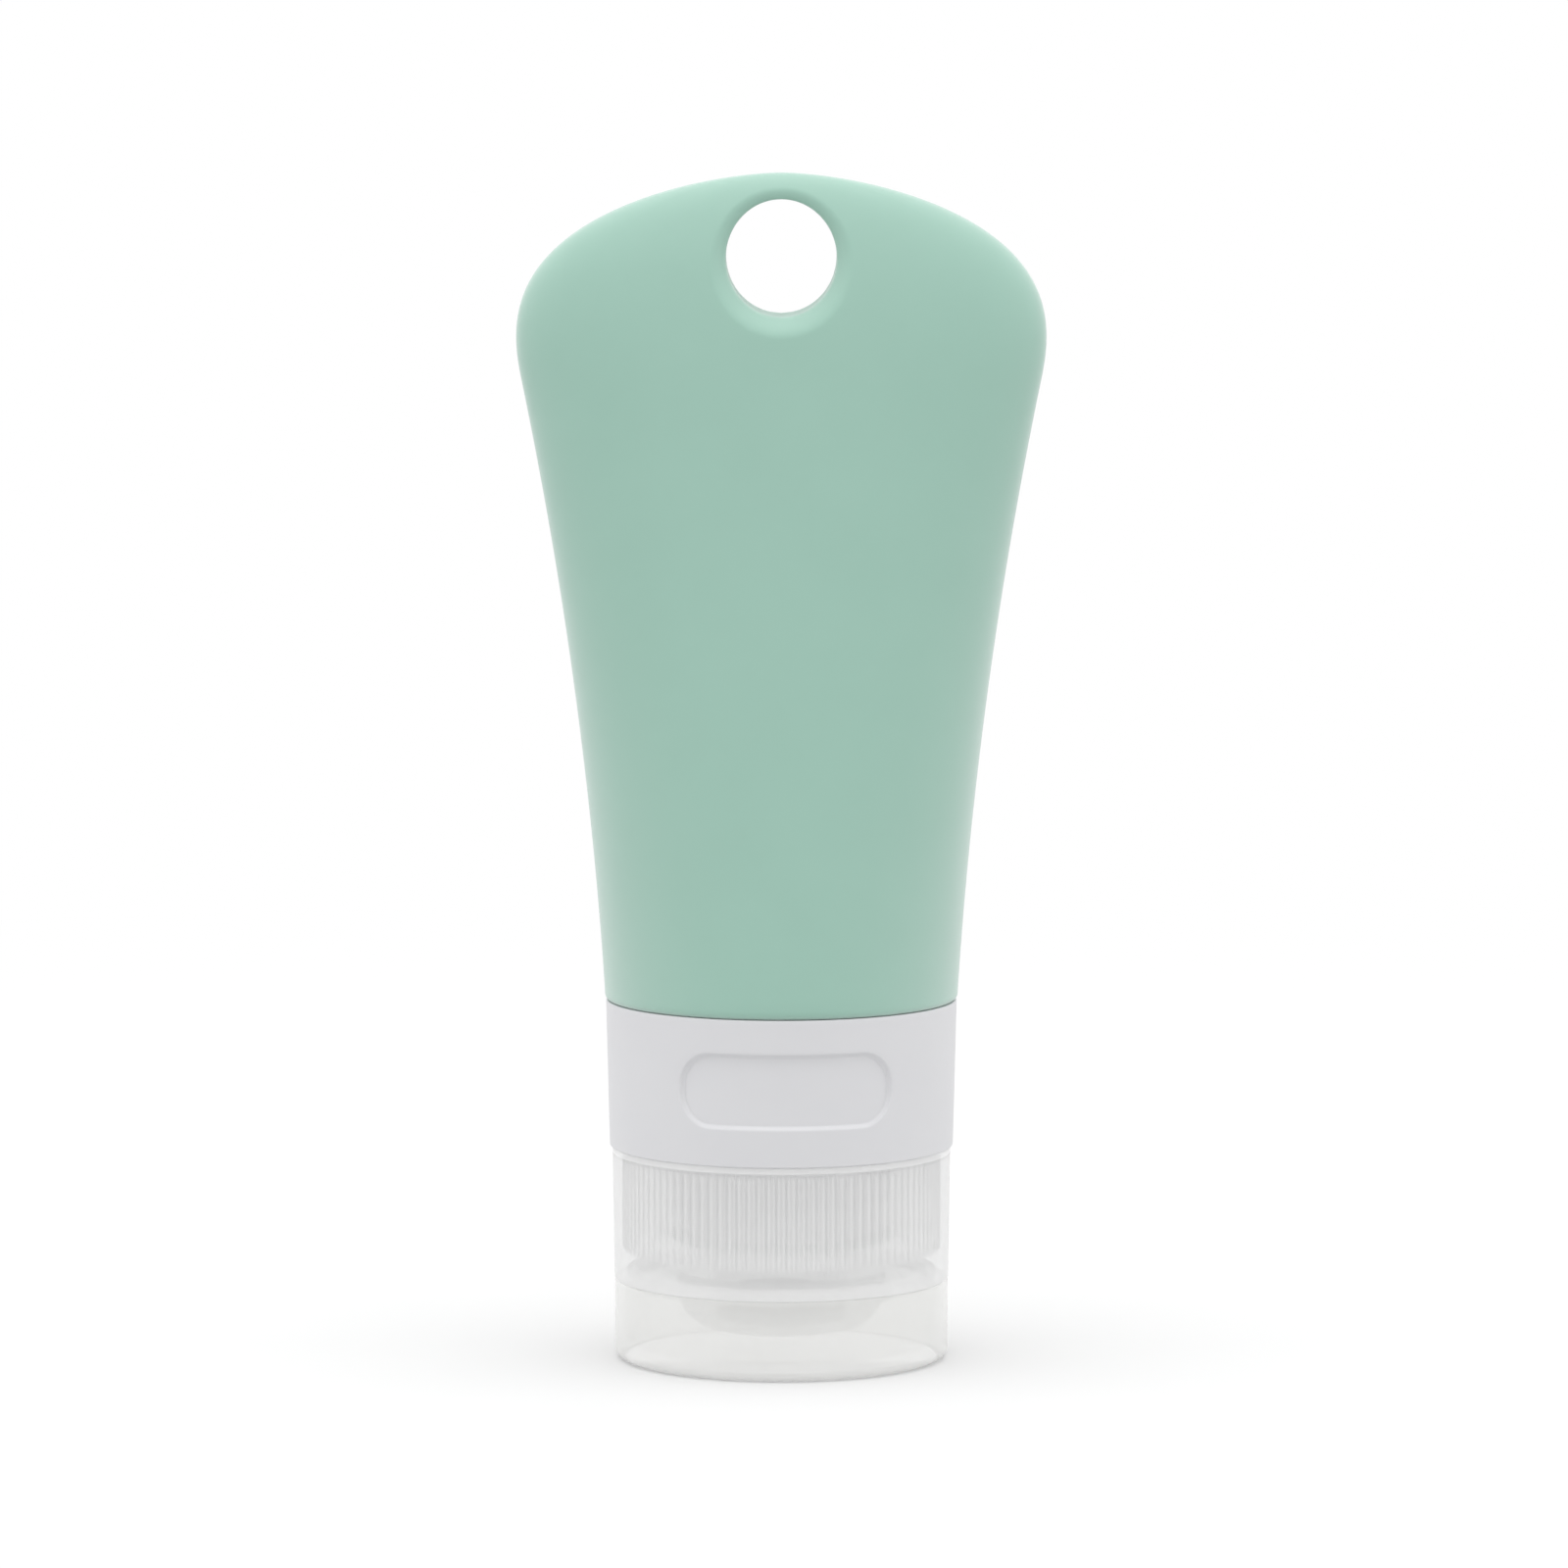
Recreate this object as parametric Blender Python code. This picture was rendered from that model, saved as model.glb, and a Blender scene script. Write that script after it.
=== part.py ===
"""Travel squeeze bottle that stands on its flip-top cap, as separate pieces in metres.

The origin is the centre of the outer face of the lid. +Z runs up to the hanging hole and -Y is the front.
"""

import math

import bmesh
import bpy

# Clearances
FIT_GAP = 0.0003
THREAD_CLEARANCE = 0.0004
PIN_CLEARANCE = 0.00015
OVERRUN = 0.002
EMBED = 0.0002

# Rigid neck that the cap screws on to
NECK_BORE_RADIUS = 0.0105
NECK_WALL = 0.0015
THREAD_HEIGHT = 0.001
THREAD_LEAD = 0.0025
THREAD_TURNS = 2.25
THREAD_ROOT_WIDTH = 0.0012
THREAD_CREST_WIDTH = 0.0006
THREAD_START_SETBACK = 0.0014
THREAD_RUNOUT_TURNS = 0.08
CAP_THREAD_TURNS = 1.5
FLANGE_THICKNESS = 0.0014
HUB_WALL = 0.0012
SNAP_BEAD_HEIGHT = 0.0006
SNAP_BEAD_THICKNESS = 0.0005
SLEEVE_RADIUS = 0.0145
SLEEVE_WALL = 0.0015
SLEEVE_LENGTH = 0.0127
BARB_HEIGHT = 0.0004
BARB_LENGTH = 0.0024
BARB_COUNT = 4

# Gasket between the neck's end and the cap's deck
GASKET_THICKNESS = 0.0009
GASKET_LIP = 0.0001

# Lid, the cup that the bottle stands on
LID_HEIGHT = 0.00941
LID_STEP = 0.00005
LID_WALL = 0.0012
LID_PLATE = 0.0019
LID_CORNER_RADIUS = 0.0013
LID_INNER_FILLET = 0.0009
LID_RIM_RADIUS = 0.00025
STUB_RADIUS = 0.0042
STUB_DRAFT = 0.0004
STUB_ENGAGEMENT = 0.001

# Cap
CAP_HEIGHT = 0.01464
CAP_STEP = 0.00031
CAP_DRAFT = 0.00022
CAP_WALL = 0.00115
CAP_RIM_RADIUS = 0.0003
DECK_RISE = 0.001
DECK_THICKNESS = 0.0022
SOCKET_WALL = 0.0018
SOCKET_SETBACK = 0.0004
SEAT_HEIGHT = 0.001
RIB_COUNT = 100
RIB_HEIGHT = 0.00045
RIB_SETBACK = 0.0006
LOCATING_RING_WALL = 0.0009
LOCATING_RING_DEPTH = 0.0006

# Nozzle that hangs from the cap's deck
NOZZLE_RADIUS = 0.0123
NOZZLE_TIP_RADIUS = 0.0072
NOZZLE_DEPTH = 0.00721
NOZZLE_DOME_HEIGHT = 0.0046
NOZZLE_BORE_RADIUS = 0.0077
NOZZLE_BORE_DEPTH = 0.0048
NOZZLE_TIP_THICKNESS = 0.0012
ORIFICE_RADIUS = 0.0054

# Valve and the ring that holds it in the nozzle
VALVE_FLANGE_THICKNESS = 0.001
VALVE_FLANGE_WIDTH = 0.0024
VALVE_SKIN = 0.0006
VALVE_RISE = 0.0008
SLIT_LENGTH = 0.0056
SLIT_WIDTH = 0.0003
RETAINER_HEIGHT = 0.0018
RETAINER_WALL = 0.0022

# Hinge at the back of the cap
KNUCKLE_RADIUS = 0.0011
KNUCKLE_LENGTH = 0.006
EAR_LENGTH = 0.003
HINGE_INSET = 0.00005
PIN_RADIUS = 0.0005
PIN_REACH = 0.0022

# Collar that turns round the neck
COLLAR_HEIGHT = 0.01765
COLLAR_WALL = 0.00083
COLLAR_FLARE = 0.00042
COLLAR_BOTTOM_EDGE = 0.0006
COLLAR_TOP_EDGE = 0.0002
LIP_THICKNESS = 0.00095
WINDOW_WIDTH = 0.0254
WINDOW_HEIGHT = 0.0085
WINDOW_CORNER_RADIUS = 0.0033
WINDOW_RISE = 0.00555
WINDOW_TURN_DEG = 1.8

# Label ring behind the collar's window
LABEL_WALL = 0.0007

# Silicone body
BODY_STEP = 0.00013
BODY_LENGTH = 0.0977
BODY_WALL = 0.002
BODY_NECK_WALL = 0.003
BODY_EDGE_RADIUS = 0.0012
FLOOR_FILLET = 0.0014
TAIL_FLARE = 0.01073
TAIL_THICKNESS = 0.016
WIDEST_DROP = 0.0193
ARCH_HEIGHT = 0.0243
HOLE_WIDTH = 0.013
HOLE_HEIGHT = 0.01365
HOLE_DROP = 0.0099
HOLE_EDGE_RADIUS = 0.0015
HOLE_WEB = 0.004
CAVITY_END_HEIGHT = 0.012

# How the body's outline and sections curve
FLARE_START_SHARE = 0.45
ARCH_WIDTH_POWER = 2.4
ARCH_WIDTH_ROOT = 0.6
ARCH_THICKNESS_POWER = 3.0
ROUND_POWER = 2.0
TAIL_POWER = 2.6
CAVITY_END_POWER = 2.5

# How finely round shapes are faceted
SEGMENTS = 40
PIN_SEGMENTS = 16
CORNER_STEPS = 3
WINDOW_CORNER_STEPS = 5
DOME_STEPS = 4
THREAD_STEPS_PER_TURN = 24
THREAD_START_DEG = 2.0
FLARE_RINGS = 9
ARCH_RINGS = 9
CAVITY_RINGS = 8
CAVITY_END_RINGS = 5
HOLE_SEGMENTS = 28
HOLE_EDGE_RINGS = 3
HOLE_EDGE_SWEEP_DEG = 72.0
SHARP_ANGLE_DEG = 35.0
MERGE_DISTANCE = 0.000001

# Radii worked out from the neck outwards
NECK_RADIUS = NECK_BORE_RADIUS + NECK_WALL
SOCKET_RADIUS = NECK_RADIUS + THREAD_HEIGHT + THREAD_CLEARANCE
SOCKET_OUTER_RADIUS = SOCKET_RADIUS + SOCKET_WALL
HUB_INNER_RADIUS = SOCKET_OUTER_RADIUS + 2 * FIT_GAP
HUB_RADIUS = HUB_INNER_RADIUS + HUB_WALL
LIP_RADIUS = HUB_RADIUS + FIT_GAP
BODY_BORE_RADIUS = SLEEVE_RADIUS + BARB_HEIGHT + FIT_GAP
BODY_NECK_RADIUS = BODY_BORE_RADIUS + BODY_NECK_WALL
LABEL_INNER_RADIUS = BODY_NECK_RADIUS + FIT_GAP
LABEL_RADIUS = LABEL_INNER_RADIUS + LABEL_WALL
COLLAR_INNER_RADIUS = LABEL_RADIUS + FIT_GAP
COLLAR_BOTTOM_RADIUS = COLLAR_INNER_RADIUS + COLLAR_WALL
COLLAR_TOP_RADIUS = COLLAR_BOTTOM_RADIUS + COLLAR_FLARE
BODY_RADIUS = COLLAR_TOP_RADIUS + BODY_STEP
CAP_TOP_RADIUS = COLLAR_BOTTOM_RADIUS - CAP_STEP
CAP_BOTTOM_RADIUS = CAP_TOP_RADIUS - CAP_DRAFT
LID_RADIUS = CAP_BOTTOM_RADIUS - LID_STEP
GASKET_RADIUS = SOCKET_RADIUS - FIT_GAP
GASKET_INNER_RADIUS = NECK_BORE_RADIUS + GASKET_LIP

# Heights worked out from the surface that the lid stands on
CAP_BOTTOM_Z = LID_HEIGHT + FIT_GAP
CAP_TOP_Z = CAP_BOTTOM_Z + CAP_HEIGHT
COLLAR_BOTTOM_Z = CAP_TOP_Z + FIT_GAP
COLLAR_TOP_Z = COLLAR_BOTTOM_Z + COLLAR_HEIGHT
BODY_BOTTOM_Z = COLLAR_TOP_Z + FIT_GAP
BODY_TOP_Z = BODY_BOTTOM_Z + BODY_LENGTH
DECK_BOTTOM_Z = CAP_BOTTOM_Z + DECK_RISE
DECK_TOP_Z = DECK_BOTTOM_Z + DECK_THICKNESS
SEAT_Z = DECK_TOP_Z + SEAT_HEIGHT
GASKET_BOTTOM_Z = SEAT_Z + FIT_GAP
NECK_END_Z = GASKET_BOTTOM_Z + GASKET_THICKNESS + FIT_GAP
LIP_TOP_Z = COLLAR_BOTTOM_Z + LIP_THICKNESS
FLANGE_BOTTOM_Z = LIP_TOP_Z + FIT_GAP
FLANGE_TOP_Z = FLANGE_BOTTOM_Z + FLANGE_THICKNESS
BEAD_TOP_Z = COLLAR_BOTTOM_Z - FIT_GAP
BEAD_BOTTOM_Z = BEAD_TOP_Z - SNAP_BEAD_THICKNESS
BODY_NECK_END_Z = FLANGE_TOP_Z + FIT_GAP
NOZZLE_TIP_Z = DECK_BOTTOM_Z - NOZZLE_DEPTH
VALVE_SEAT_Z = NOZZLE_TIP_Z + NOZZLE_TIP_THICKNESS
VALVE_Z = VALVE_SEAT_Z + FIT_GAP
RETAINER_Z = VALVE_Z + VALVE_FLANGE_THICKNESS + FIT_GAP
WIDEST_Z = BODY_TOP_Z - WIDEST_DROP
ARCH_Z = BODY_TOP_Z - ARCH_HEIGHT
BODY_FLARE_Z = BODY_BOTTOM_Z + BODY_EDGE_RADIUS
HOLE_Z = BODY_TOP_Z - HOLE_DROP
CAVITY_TOP_Z = HOLE_Z - HOLE_HEIGHT / 2 - HOLE_WEB

# The lid's hinge axis, along X
HINGE_Y = LID_RADIUS - HINGE_INSET
HINGE_Z = LID_HEIGHT + FIT_GAP / 2

# Base colours, as linear values, and roughnesses
MINT = (0.34, 0.53, 0.44)
MILKY_SILICONE = (0.80, 0.81, 0.80)
WHITE = (0.70, 0.70, 0.71)
FROST = (0.74, 0.74, 0.74)
CLEAR = (0.80, 0.80, 0.78)
SILICONE_ROUGHNESS = 0.55
SATIN_ROUGHNESS = 0.45
FROST_ROUGHNESS = 0.4
CLEAR_ROUGHNESS = 0.3


def clear_scene():
    for obj in list(bpy.data.objects):
        bpy.data.objects.remove(obj)


def material(name, color, roughness, metallic=0.0):
    made = bpy.data.materials.new(name)
    made.use_nodes = True
    shader = made.node_tree.nodes["Principled BSDF"]
    shader.inputs["Base Color"].default_value = (*color, 1.0)
    shader.inputs["Roughness"].default_value = roughness
    shader.inputs["Metallic"].default_value = metallic
    made.diffuse_color = (*color, 1.0)
    return made


def keep_place(obj, parent):
    """Parents obj without moving it."""
    bpy.context.view_layer.update()
    obj.parent = parent
    obj.matrix_parent_inverse = parent.matrix_world.inverted()


def axis_empty(name, location, parent=None):
    """An empty at the axis that a group of pieces moves on."""
    empty = bpy.data.objects.new(name, None)
    empty.location = location
    empty.empty_display_size = LID_HEIGHT
    bpy.context.scene.collection.objects.link(empty)
    if parent:
        keep_place(empty, parent)
    return empty


def mesh_object(name, bm):
    """Turns a bmesh into an object, with its faces pointing out and its round faces smooth."""
    bmesh.ops.remove_doubles(bm, verts=bm.verts, dist=MERGE_DISTANCE)
    bmesh.ops.recalc_face_normals(bm, faces=bm.faces)
    mesh = bpy.data.meshes.new(name)
    bm.to_mesh(mesh)
    bm.free()
    mesh.shade_smooth()
    mesh.set_sharp_from_angle(angle=math.radians(SHARP_ANGLE_DEG))
    obj = bpy.data.objects.new(name, mesh)
    bpy.context.scene.collection.objects.link(obj)
    return obj


def piece(name, bm, look, parent):
    obj = mesh_object(name, bm)
    obj.data.materials.append(look)
    keep_place(obj, parent)
    return obj


def combine(obj, label, bm, operation, turn_deg=0.0):
    """Cuts a shape from obj or joins it to obj, with the shape kept as a hidden wire guide."""
    guide = mesh_object(f"{obj.name}_{label}", bm)
    guide.rotation_euler.z = math.radians(turn_deg)
    guide.hide_render = True
    guide.display_type = "WIRE"
    keep_place(guide, obj)
    modifier = obj.modifiers.new(label, "BOOLEAN")
    modifier.object = guide
    modifier.operation = operation


def arc(center, radius, start_deg, end_deg, steps=CORNER_STEPS):
    """Points along an arc round center, both ends included."""
    angles = [math.radians(start_deg + (end_deg - start_deg) * i / steps) for i in range(steps + 1)]
    return [(center[0] + radius * math.cos(a), center[1] + radius * math.sin(a)) for a in angles]


def turned(profile, closed=True):
    """A profile of (radius, z) points spun round Z. One that isn't closed starts and ends on the axis."""
    bm = bmesh.new()
    verts = [bm.verts.new((radius, 0, z)) for radius, z in profile]
    edges = [bm.edges.new(ends) for ends in zip(verts, verts[1:])]
    if closed:
        edges.append(bm.edges.new((verts[-1], verts[0])))
    bmesh.ops.spin(
        bm,
        geom=verts + edges,
        axis=(0, 0, 1),
        cent=(0, 0, 0),
        angle=math.tau,
        steps=SEGMENTS,
        use_merge=True,
    )
    return bm


def skin(rings, round_trip=False):
    """A closed shape through rings of points. One point is a pole, and open ends get a flat cap."""
    bm = bmesh.new()
    rows = [[bm.verts.new(point) for point in ring] for ring in rings]
    pairs = list(zip(rows, rows[1:]))
    if round_trip:
        pairs.append((rows[-1], rows[0]))
    for low, high in pairs:
        count = max(len(low), len(high))
        for i in range(count):
            j = (i + 1) % count
            start = (low[i % len(low)], high[i % len(high)])
            end = (low[j % len(low)], high[j % len(high)])
            corners = (start[0], end[0], end[1], start[1])
            bm.faces.new(list(dict.fromkeys(corners)))
    if not round_trip:
        for row in (rows[0], rows[-1]):
            if len(row) > 1:
                bm.faces.new(row)
    return bm


def rod(radius, start_x, end_x):
    """A round bar along X, on the lid's hinge axis."""
    rings = []
    for x in (start_x, end_x):
        circle = arc((HINGE_Y, HINGE_Z), radius, 0, 360, PIN_SEGMENTS)[:-1]
        rings.append([(x, cy, cz) for cy, cz in circle])
    return skin(rings)


def box(size, center):
    bm = bmesh.new()
    bmesh.ops.create_cube(bm, size=1.0)
    bmesh.ops.scale(bm, vec=size, verts=bm.verts)
    bmesh.ops.translate(bm, vec=center, verts=bm.verts)
    return bm


def thread_ridge(root_radius, crest_radius, start_z, turns):
    """A right-hand helical ridge that fades into the wall at both ends."""
    inward = math.copysign(EMBED, root_radius - crest_radius)
    steps = round(turns * THREAD_STEPS_PER_TURN)
    rings = []
    for i in range(steps + 1):
        turn = turns * i / steps
        fade = min(1.0, turn / THREAD_RUNOUT_TURNS, (turns - turn) / THREAD_RUNOUT_TURNS)
        buried = root_radius + inward / 2
        crest = buried + (crest_radius - buried) * math.sin(fade * math.pi / 2)
        z = start_z + THREAD_LEAD * turn
        ridge_section = (
            (root_radius + inward, z - THREAD_ROOT_WIDTH / 2),
            (crest, z - THREAD_CREST_WIDTH / 2),
            (crest, z + THREAD_CREST_WIDTH / 2),
            (root_radius + inward, z + THREAD_ROOT_WIDTH / 2),
        )
        angle = math.tau * turn + math.radians(THREAD_START_DEG)
        rings.append([(r * math.cos(angle), r * math.sin(angle), height) for r, height in ridge_section])
    return skin(rings)


def make_neck_insert(look, parent):
    """The rigid neck: threaded tube, flange and hub that carry the collar, and a barbed sleeve."""
    sleeve_inner = SLEEVE_RADIUS - SLEEVE_WALL
    sleeve_top = FLANGE_TOP_Z + SLEEVE_LENGTH
    profile = [
        (NECK_BORE_RADIUS, NECK_END_Z),
        (NECK_RADIUS, NECK_END_Z),
        (NECK_RADIUS, FLANGE_BOTTOM_Z),
        (HUB_INNER_RADIUS, FLANGE_BOTTOM_Z),
        (HUB_INNER_RADIUS, BEAD_BOTTOM_Z),
        (HUB_RADIUS, BEAD_BOTTOM_Z),
        (HUB_RADIUS + SNAP_BEAD_HEIGHT, BEAD_TOP_Z - SNAP_BEAD_THICKNESS / 2),
        (HUB_RADIUS + SNAP_BEAD_HEIGHT, BEAD_TOP_Z),
        (HUB_RADIUS, BEAD_TOP_Z),
        (HUB_RADIUS, FLANGE_BOTTOM_Z),
        (LABEL_RADIUS, FLANGE_BOTTOM_Z),
        (LABEL_RADIUS, FLANGE_TOP_Z),
        (SLEEVE_RADIUS, FLANGE_TOP_Z),
    ]
    for i in range(BARB_COUNT):
        barb_z = FLANGE_TOP_Z + BARB_LENGTH * (i + 1)
        profile += [(SLEEVE_RADIUS + BARB_HEIGHT, barb_z), (SLEEVE_RADIUS, barb_z + BARB_HEIGHT)]
    profile += [
        (SLEEVE_RADIUS, sleeve_top),
        (sleeve_inner, sleeve_top),
        (sleeve_inner, FLANGE_TOP_Z),
        (NECK_BORE_RADIUS, FLANGE_BOTTOM_Z),
    ]
    insert = piece("neck_insert", turned(profile), look, parent)
    start_z = NECK_END_Z + THREAD_START_SETBACK
    ridge = thread_ridge(NECK_RADIUS, NECK_RADIUS + THREAD_HEIGHT, start_z, THREAD_TURNS)
    combine(insert, "thread", ridge, "UNION")


def make_gasket(look, parent):
    profile = [
        (GASKET_INNER_RADIUS, GASKET_BOTTOM_Z),
        (GASKET_RADIUS, GASKET_BOTTOM_Z),
        (GASKET_RADIUS, GASKET_BOTTOM_Z + GASKET_THICKNESS),
        (GASKET_INNER_RADIUS, GASKET_BOTTOM_Z + GASKET_THICKNESS),
    ]
    piece("cap_gasket", turned(profile), look, parent)


def make_label_ring(look, parent):
    top = BODY_BOTTOM_Z - FIT_GAP
    profile = [
        (LABEL_INNER_RADIUS, BODY_NECK_END_Z),
        (LABEL_RADIUS, BODY_NECK_END_Z),
        (LABEL_RADIUS, top),
        (LABEL_INNER_RADIUS, top),
    ]
    piece("label_ring", turned(profile), look, parent)


def window_shape():
    """A pill that is cut through the front of the collar."""
    half_width = WINDOW_WIDTH / 2 - WINDOW_CORNER_RADIUS
    half_height = WINDOW_HEIGHT / 2 - WINDOW_CORNER_RADIUS
    center_z = COLLAR_BOTTOM_Z + WINDOW_RISE + WINDOW_HEIGHT / 2
    outline = []
    for side_x, side_z, start_deg in ((1, 1, 0), (-1, 1, 90), (-1, -1, 180), (1, -1, 270)):
        corner = (side_x * half_width, center_z + side_z * half_height)
        outline += arc(corner, WINDOW_CORNER_RADIUS, start_deg, start_deg + 90, WINDOW_CORNER_STEPS)
    front_y = -COLLAR_TOP_RADIUS - OVERRUN
    return skin([[(x, y, z) for x, z in outline] for y in (front_y, 0)])


def make_collar(look, parent):
    bottom_edge = (COLLAR_BOTTOM_RADIUS - COLLAR_BOTTOM_EDGE, COLLAR_BOTTOM_Z + COLLAR_BOTTOM_EDGE)
    top_edge = (COLLAR_TOP_RADIUS - COLLAR_TOP_EDGE, COLLAR_TOP_Z - COLLAR_TOP_EDGE)
    profile = [
        (LIP_RADIUS, COLLAR_BOTTOM_Z),
        *arc(bottom_edge, COLLAR_BOTTOM_EDGE, -90, 0),
        *arc(top_edge, COLLAR_TOP_EDGE, 0, 90),
        (COLLAR_INNER_RADIUS, COLLAR_TOP_Z),
        (COLLAR_INNER_RADIUS, LIP_TOP_Z),
        (LIP_RADIUS, LIP_TOP_Z),
    ]
    collar = piece("collar", turned(profile), look, parent)
    combine(collar, "window", window_shape(), "DIFFERENCE", WINDOW_TURN_DEG)


def rib_ring():
    """A ring whose inner side is a row of upright ribs, two points to a rib."""
    outer = CAP_TOP_RADIUS - CAP_WALL + EMBED
    root = outer - EMBED / 2
    crest = root - RIB_HEIGHT
    low_z = DECK_TOP_Z - EMBED
    high_z = CAP_TOP_Z - RIB_SETBACK
    back = (outer, outer)
    front = (crest, root)
    rings = []
    for radii, z in ((back, low_z), (back, high_z), (front, high_z), (front, low_z)):
        points = []
        for i in range(2 * RIB_COUNT):
            angle = math.pi * i / RIB_COUNT
            points.append((radii[i % 2] * math.cos(angle), radii[i % 2] * math.sin(angle), z))
        rings.append(points)
    return skin(rings, round_trip=True)


def make_cap_body(look, parent):
    """Outer skirt, deck, threaded socket, nozzle, locating ring and the two ears of the lid's hinge."""
    rim = CAP_RIM_RADIUS
    skirt_inner = CAP_TOP_RADIUS - CAP_WALL
    lower_inner = CAP_BOTTOM_RADIUS - CAP_WALL
    socket_top = CAP_TOP_Z - SOCKET_SETBACK
    ring_radius = LID_RADIUS - LID_WALL - FIT_GAP
    ring_bottom = LID_HEIGHT - LOCATING_RING_DEPTH
    bore_top = VALVE_SEAT_Z + NOZZLE_BORE_DEPTH
    dome_center = (NOZZLE_RADIUS, NOZZLE_TIP_Z + NOZZLE_DOME_HEIGHT)
    dome = []
    for i in range(DOME_STEPS + 1):
        angle = math.pi / 2 * i / DOME_STEPS
        radius = NOZZLE_TIP_RADIUS + (dome_center[0] - NOZZLE_TIP_RADIUS) * math.sin(angle)
        dome.append((radius, dome_center[1] - NOZZLE_DOME_HEIGHT * math.cos(angle)))
    profile = [
        (lower_inner, CAP_BOTTOM_Z),
        (CAP_BOTTOM_RADIUS, CAP_BOTTOM_Z),
        *arc((CAP_TOP_RADIUS - rim, CAP_TOP_Z - rim), rim, 0, 90),
        (skirt_inner, CAP_TOP_Z),
        (skirt_inner, DECK_TOP_Z),
        (SOCKET_OUTER_RADIUS, DECK_TOP_Z),
        (SOCKET_OUTER_RADIUS, socket_top),
        (SOCKET_RADIUS, socket_top),
        (SOCKET_RADIUS, SEAT_Z),
        (NECK_BORE_RADIUS, SEAT_Z),
        (NOZZLE_BORE_RADIUS, bore_top),
        (NOZZLE_BORE_RADIUS, VALVE_SEAT_Z),
        (ORIFICE_RADIUS, VALVE_SEAT_Z),
        (ORIFICE_RADIUS, NOZZLE_TIP_Z),
        *dome,
        (NOZZLE_RADIUS, DECK_BOTTOM_Z),
        (ring_radius - LOCATING_RING_WALL, DECK_BOTTOM_Z),
        (ring_radius - LOCATING_RING_WALL, ring_bottom),
        (ring_radius, ring_bottom),
        (ring_radius, DECK_BOTTOM_Z),
        (lower_inner, DECK_BOTTOM_Z),
    ]
    cap = piece("cap_body", turned(profile), look, parent)
    start_z = NECK_END_Z + THREAD_START_SETBACK + THREAD_LEAD / 2
    ridge = thread_ridge(SOCKET_RADIUS, SOCKET_RADIUS - THREAD_HEIGHT, start_z, CAP_THREAD_TURNS)
    combine(cap, "thread", ridge, "UNION")
    half = KNUCKLE_LENGTH / 2
    room_end = half + FIT_GAP + EMBED
    combine(cap, "knuckle_room", rod(KNUCKLE_RADIUS + FIT_GAP, -room_end, room_end), "DIFFERENCE")
    for label, side in (("left", -1), ("right", 1)):
        start = side * (half + FIT_GAP)
        ear = rod(KNUCKLE_RADIUS, start, start + side * EAR_LENGTH)
        hole = rod(PIN_RADIUS + PIN_CLEARANCE, side * half, side * (half + PIN_REACH + FIT_GAP))
        combine(cap, f"{label}_ear", ear, "UNION")
        combine(cap, f"{label}_pin_hole", hole, "DIFFERENCE")
    combine(cap, "ribs", rib_ring(), "UNION")


def make_flip_lid(look, parent):
    """A cup with a flat outer face, a stub that closes the orifice and the middle knuckle of its hinge."""
    inner = LID_RADIUS - LID_WALL
    corner = (LID_RADIUS - LID_CORNER_RADIUS, LID_CORNER_RADIUS)
    fillet = (inner - LID_INNER_FILLET, LID_PLATE + LID_INNER_FILLET)
    rim = LID_RIM_RADIUS
    stub_top = NOZZLE_TIP_Z + STUB_ENGAGEMENT
    profile = [
        (0, 0),
        *arc(corner, LID_CORNER_RADIUS, -90, 0),
        *arc((LID_RADIUS - rim, LID_HEIGHT - rim), rim, 0, 90),
        (inner, LID_HEIGHT),
        *arc(fillet, LID_INNER_FILLET, 0, -90),
        (STUB_RADIUS, LID_PLATE),
        (STUB_RADIUS - STUB_DRAFT, stub_top),
        (0, stub_top),
    ]
    lid = piece("flip_lid", turned(profile, closed=False), look, parent)
    half = KNUCKLE_LENGTH / 2
    room_end = half + EAR_LENGTH + 2 * FIT_GAP
    for label, side in (("left", -1), ("right", 1)):
        room = rod(KNUCKLE_RADIUS + FIT_GAP, side * half, side * room_end)
        combine(lid, f"{label}_ear_room", room, "DIFFERENCE")
    combine(lid, "knuckle", rod(KNUCKLE_RADIUS, -half, half), "UNION")
    combine(lid, "hinge_pin", rod(PIN_RADIUS, -half - PIN_REACH, half + PIN_REACH), "UNION")


def make_slit_valve(look, parent):
    """A flanged silicone disc, domed towards the bottle and cut by a cross."""
    outer = NOZZLE_BORE_RADIUS - FIT_GAP
    neck = outer - VALVE_FLANGE_WIDTH
    top = VALVE_Z + VALVE_FLANGE_THICKNESS
    dome = [(neck * abs(r), VALVE_Z + VALVE_RISE * h) for r, h in arc((0, 0), 1, 90, 0, DOME_STEPS)]
    profile = [*dome, (outer, VALVE_Z), (outer, top), (neck, top)]
    profile += [(r, z + VALVE_SKIN) for r, z in reversed(dome)]
    profile[0] = (0, profile[0][1])
    profile[-1] = (0, profile[-1][1])
    valve = piece("slit_valve", turned(profile, closed=False), look, parent)
    depth = 2 * (VALVE_RISE + VALVE_SKIN)
    center = (0, 0, VALVE_Z + VALVE_RISE)
    combine(valve, "slit_x", box((SLIT_LENGTH, SLIT_WIDTH, depth), center), "DIFFERENCE")
    combine(valve, "slit_y", box((SLIT_WIDTH, SLIT_LENGTH, depth), center), "DIFFERENCE")


def make_valve_retainer(look, parent):
    outer = NOZZLE_BORE_RADIUS - FIT_GAP
    top = RETAINER_Z + RETAINER_HEIGHT
    profile = [
        (outer - RETAINER_WALL, RETAINER_Z),
        (outer, RETAINER_Z),
        (outer, top),
        (outer - RETAINER_WALL, top),
    ]
    piece("valve_retainer", turned(profile), look, parent)


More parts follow.
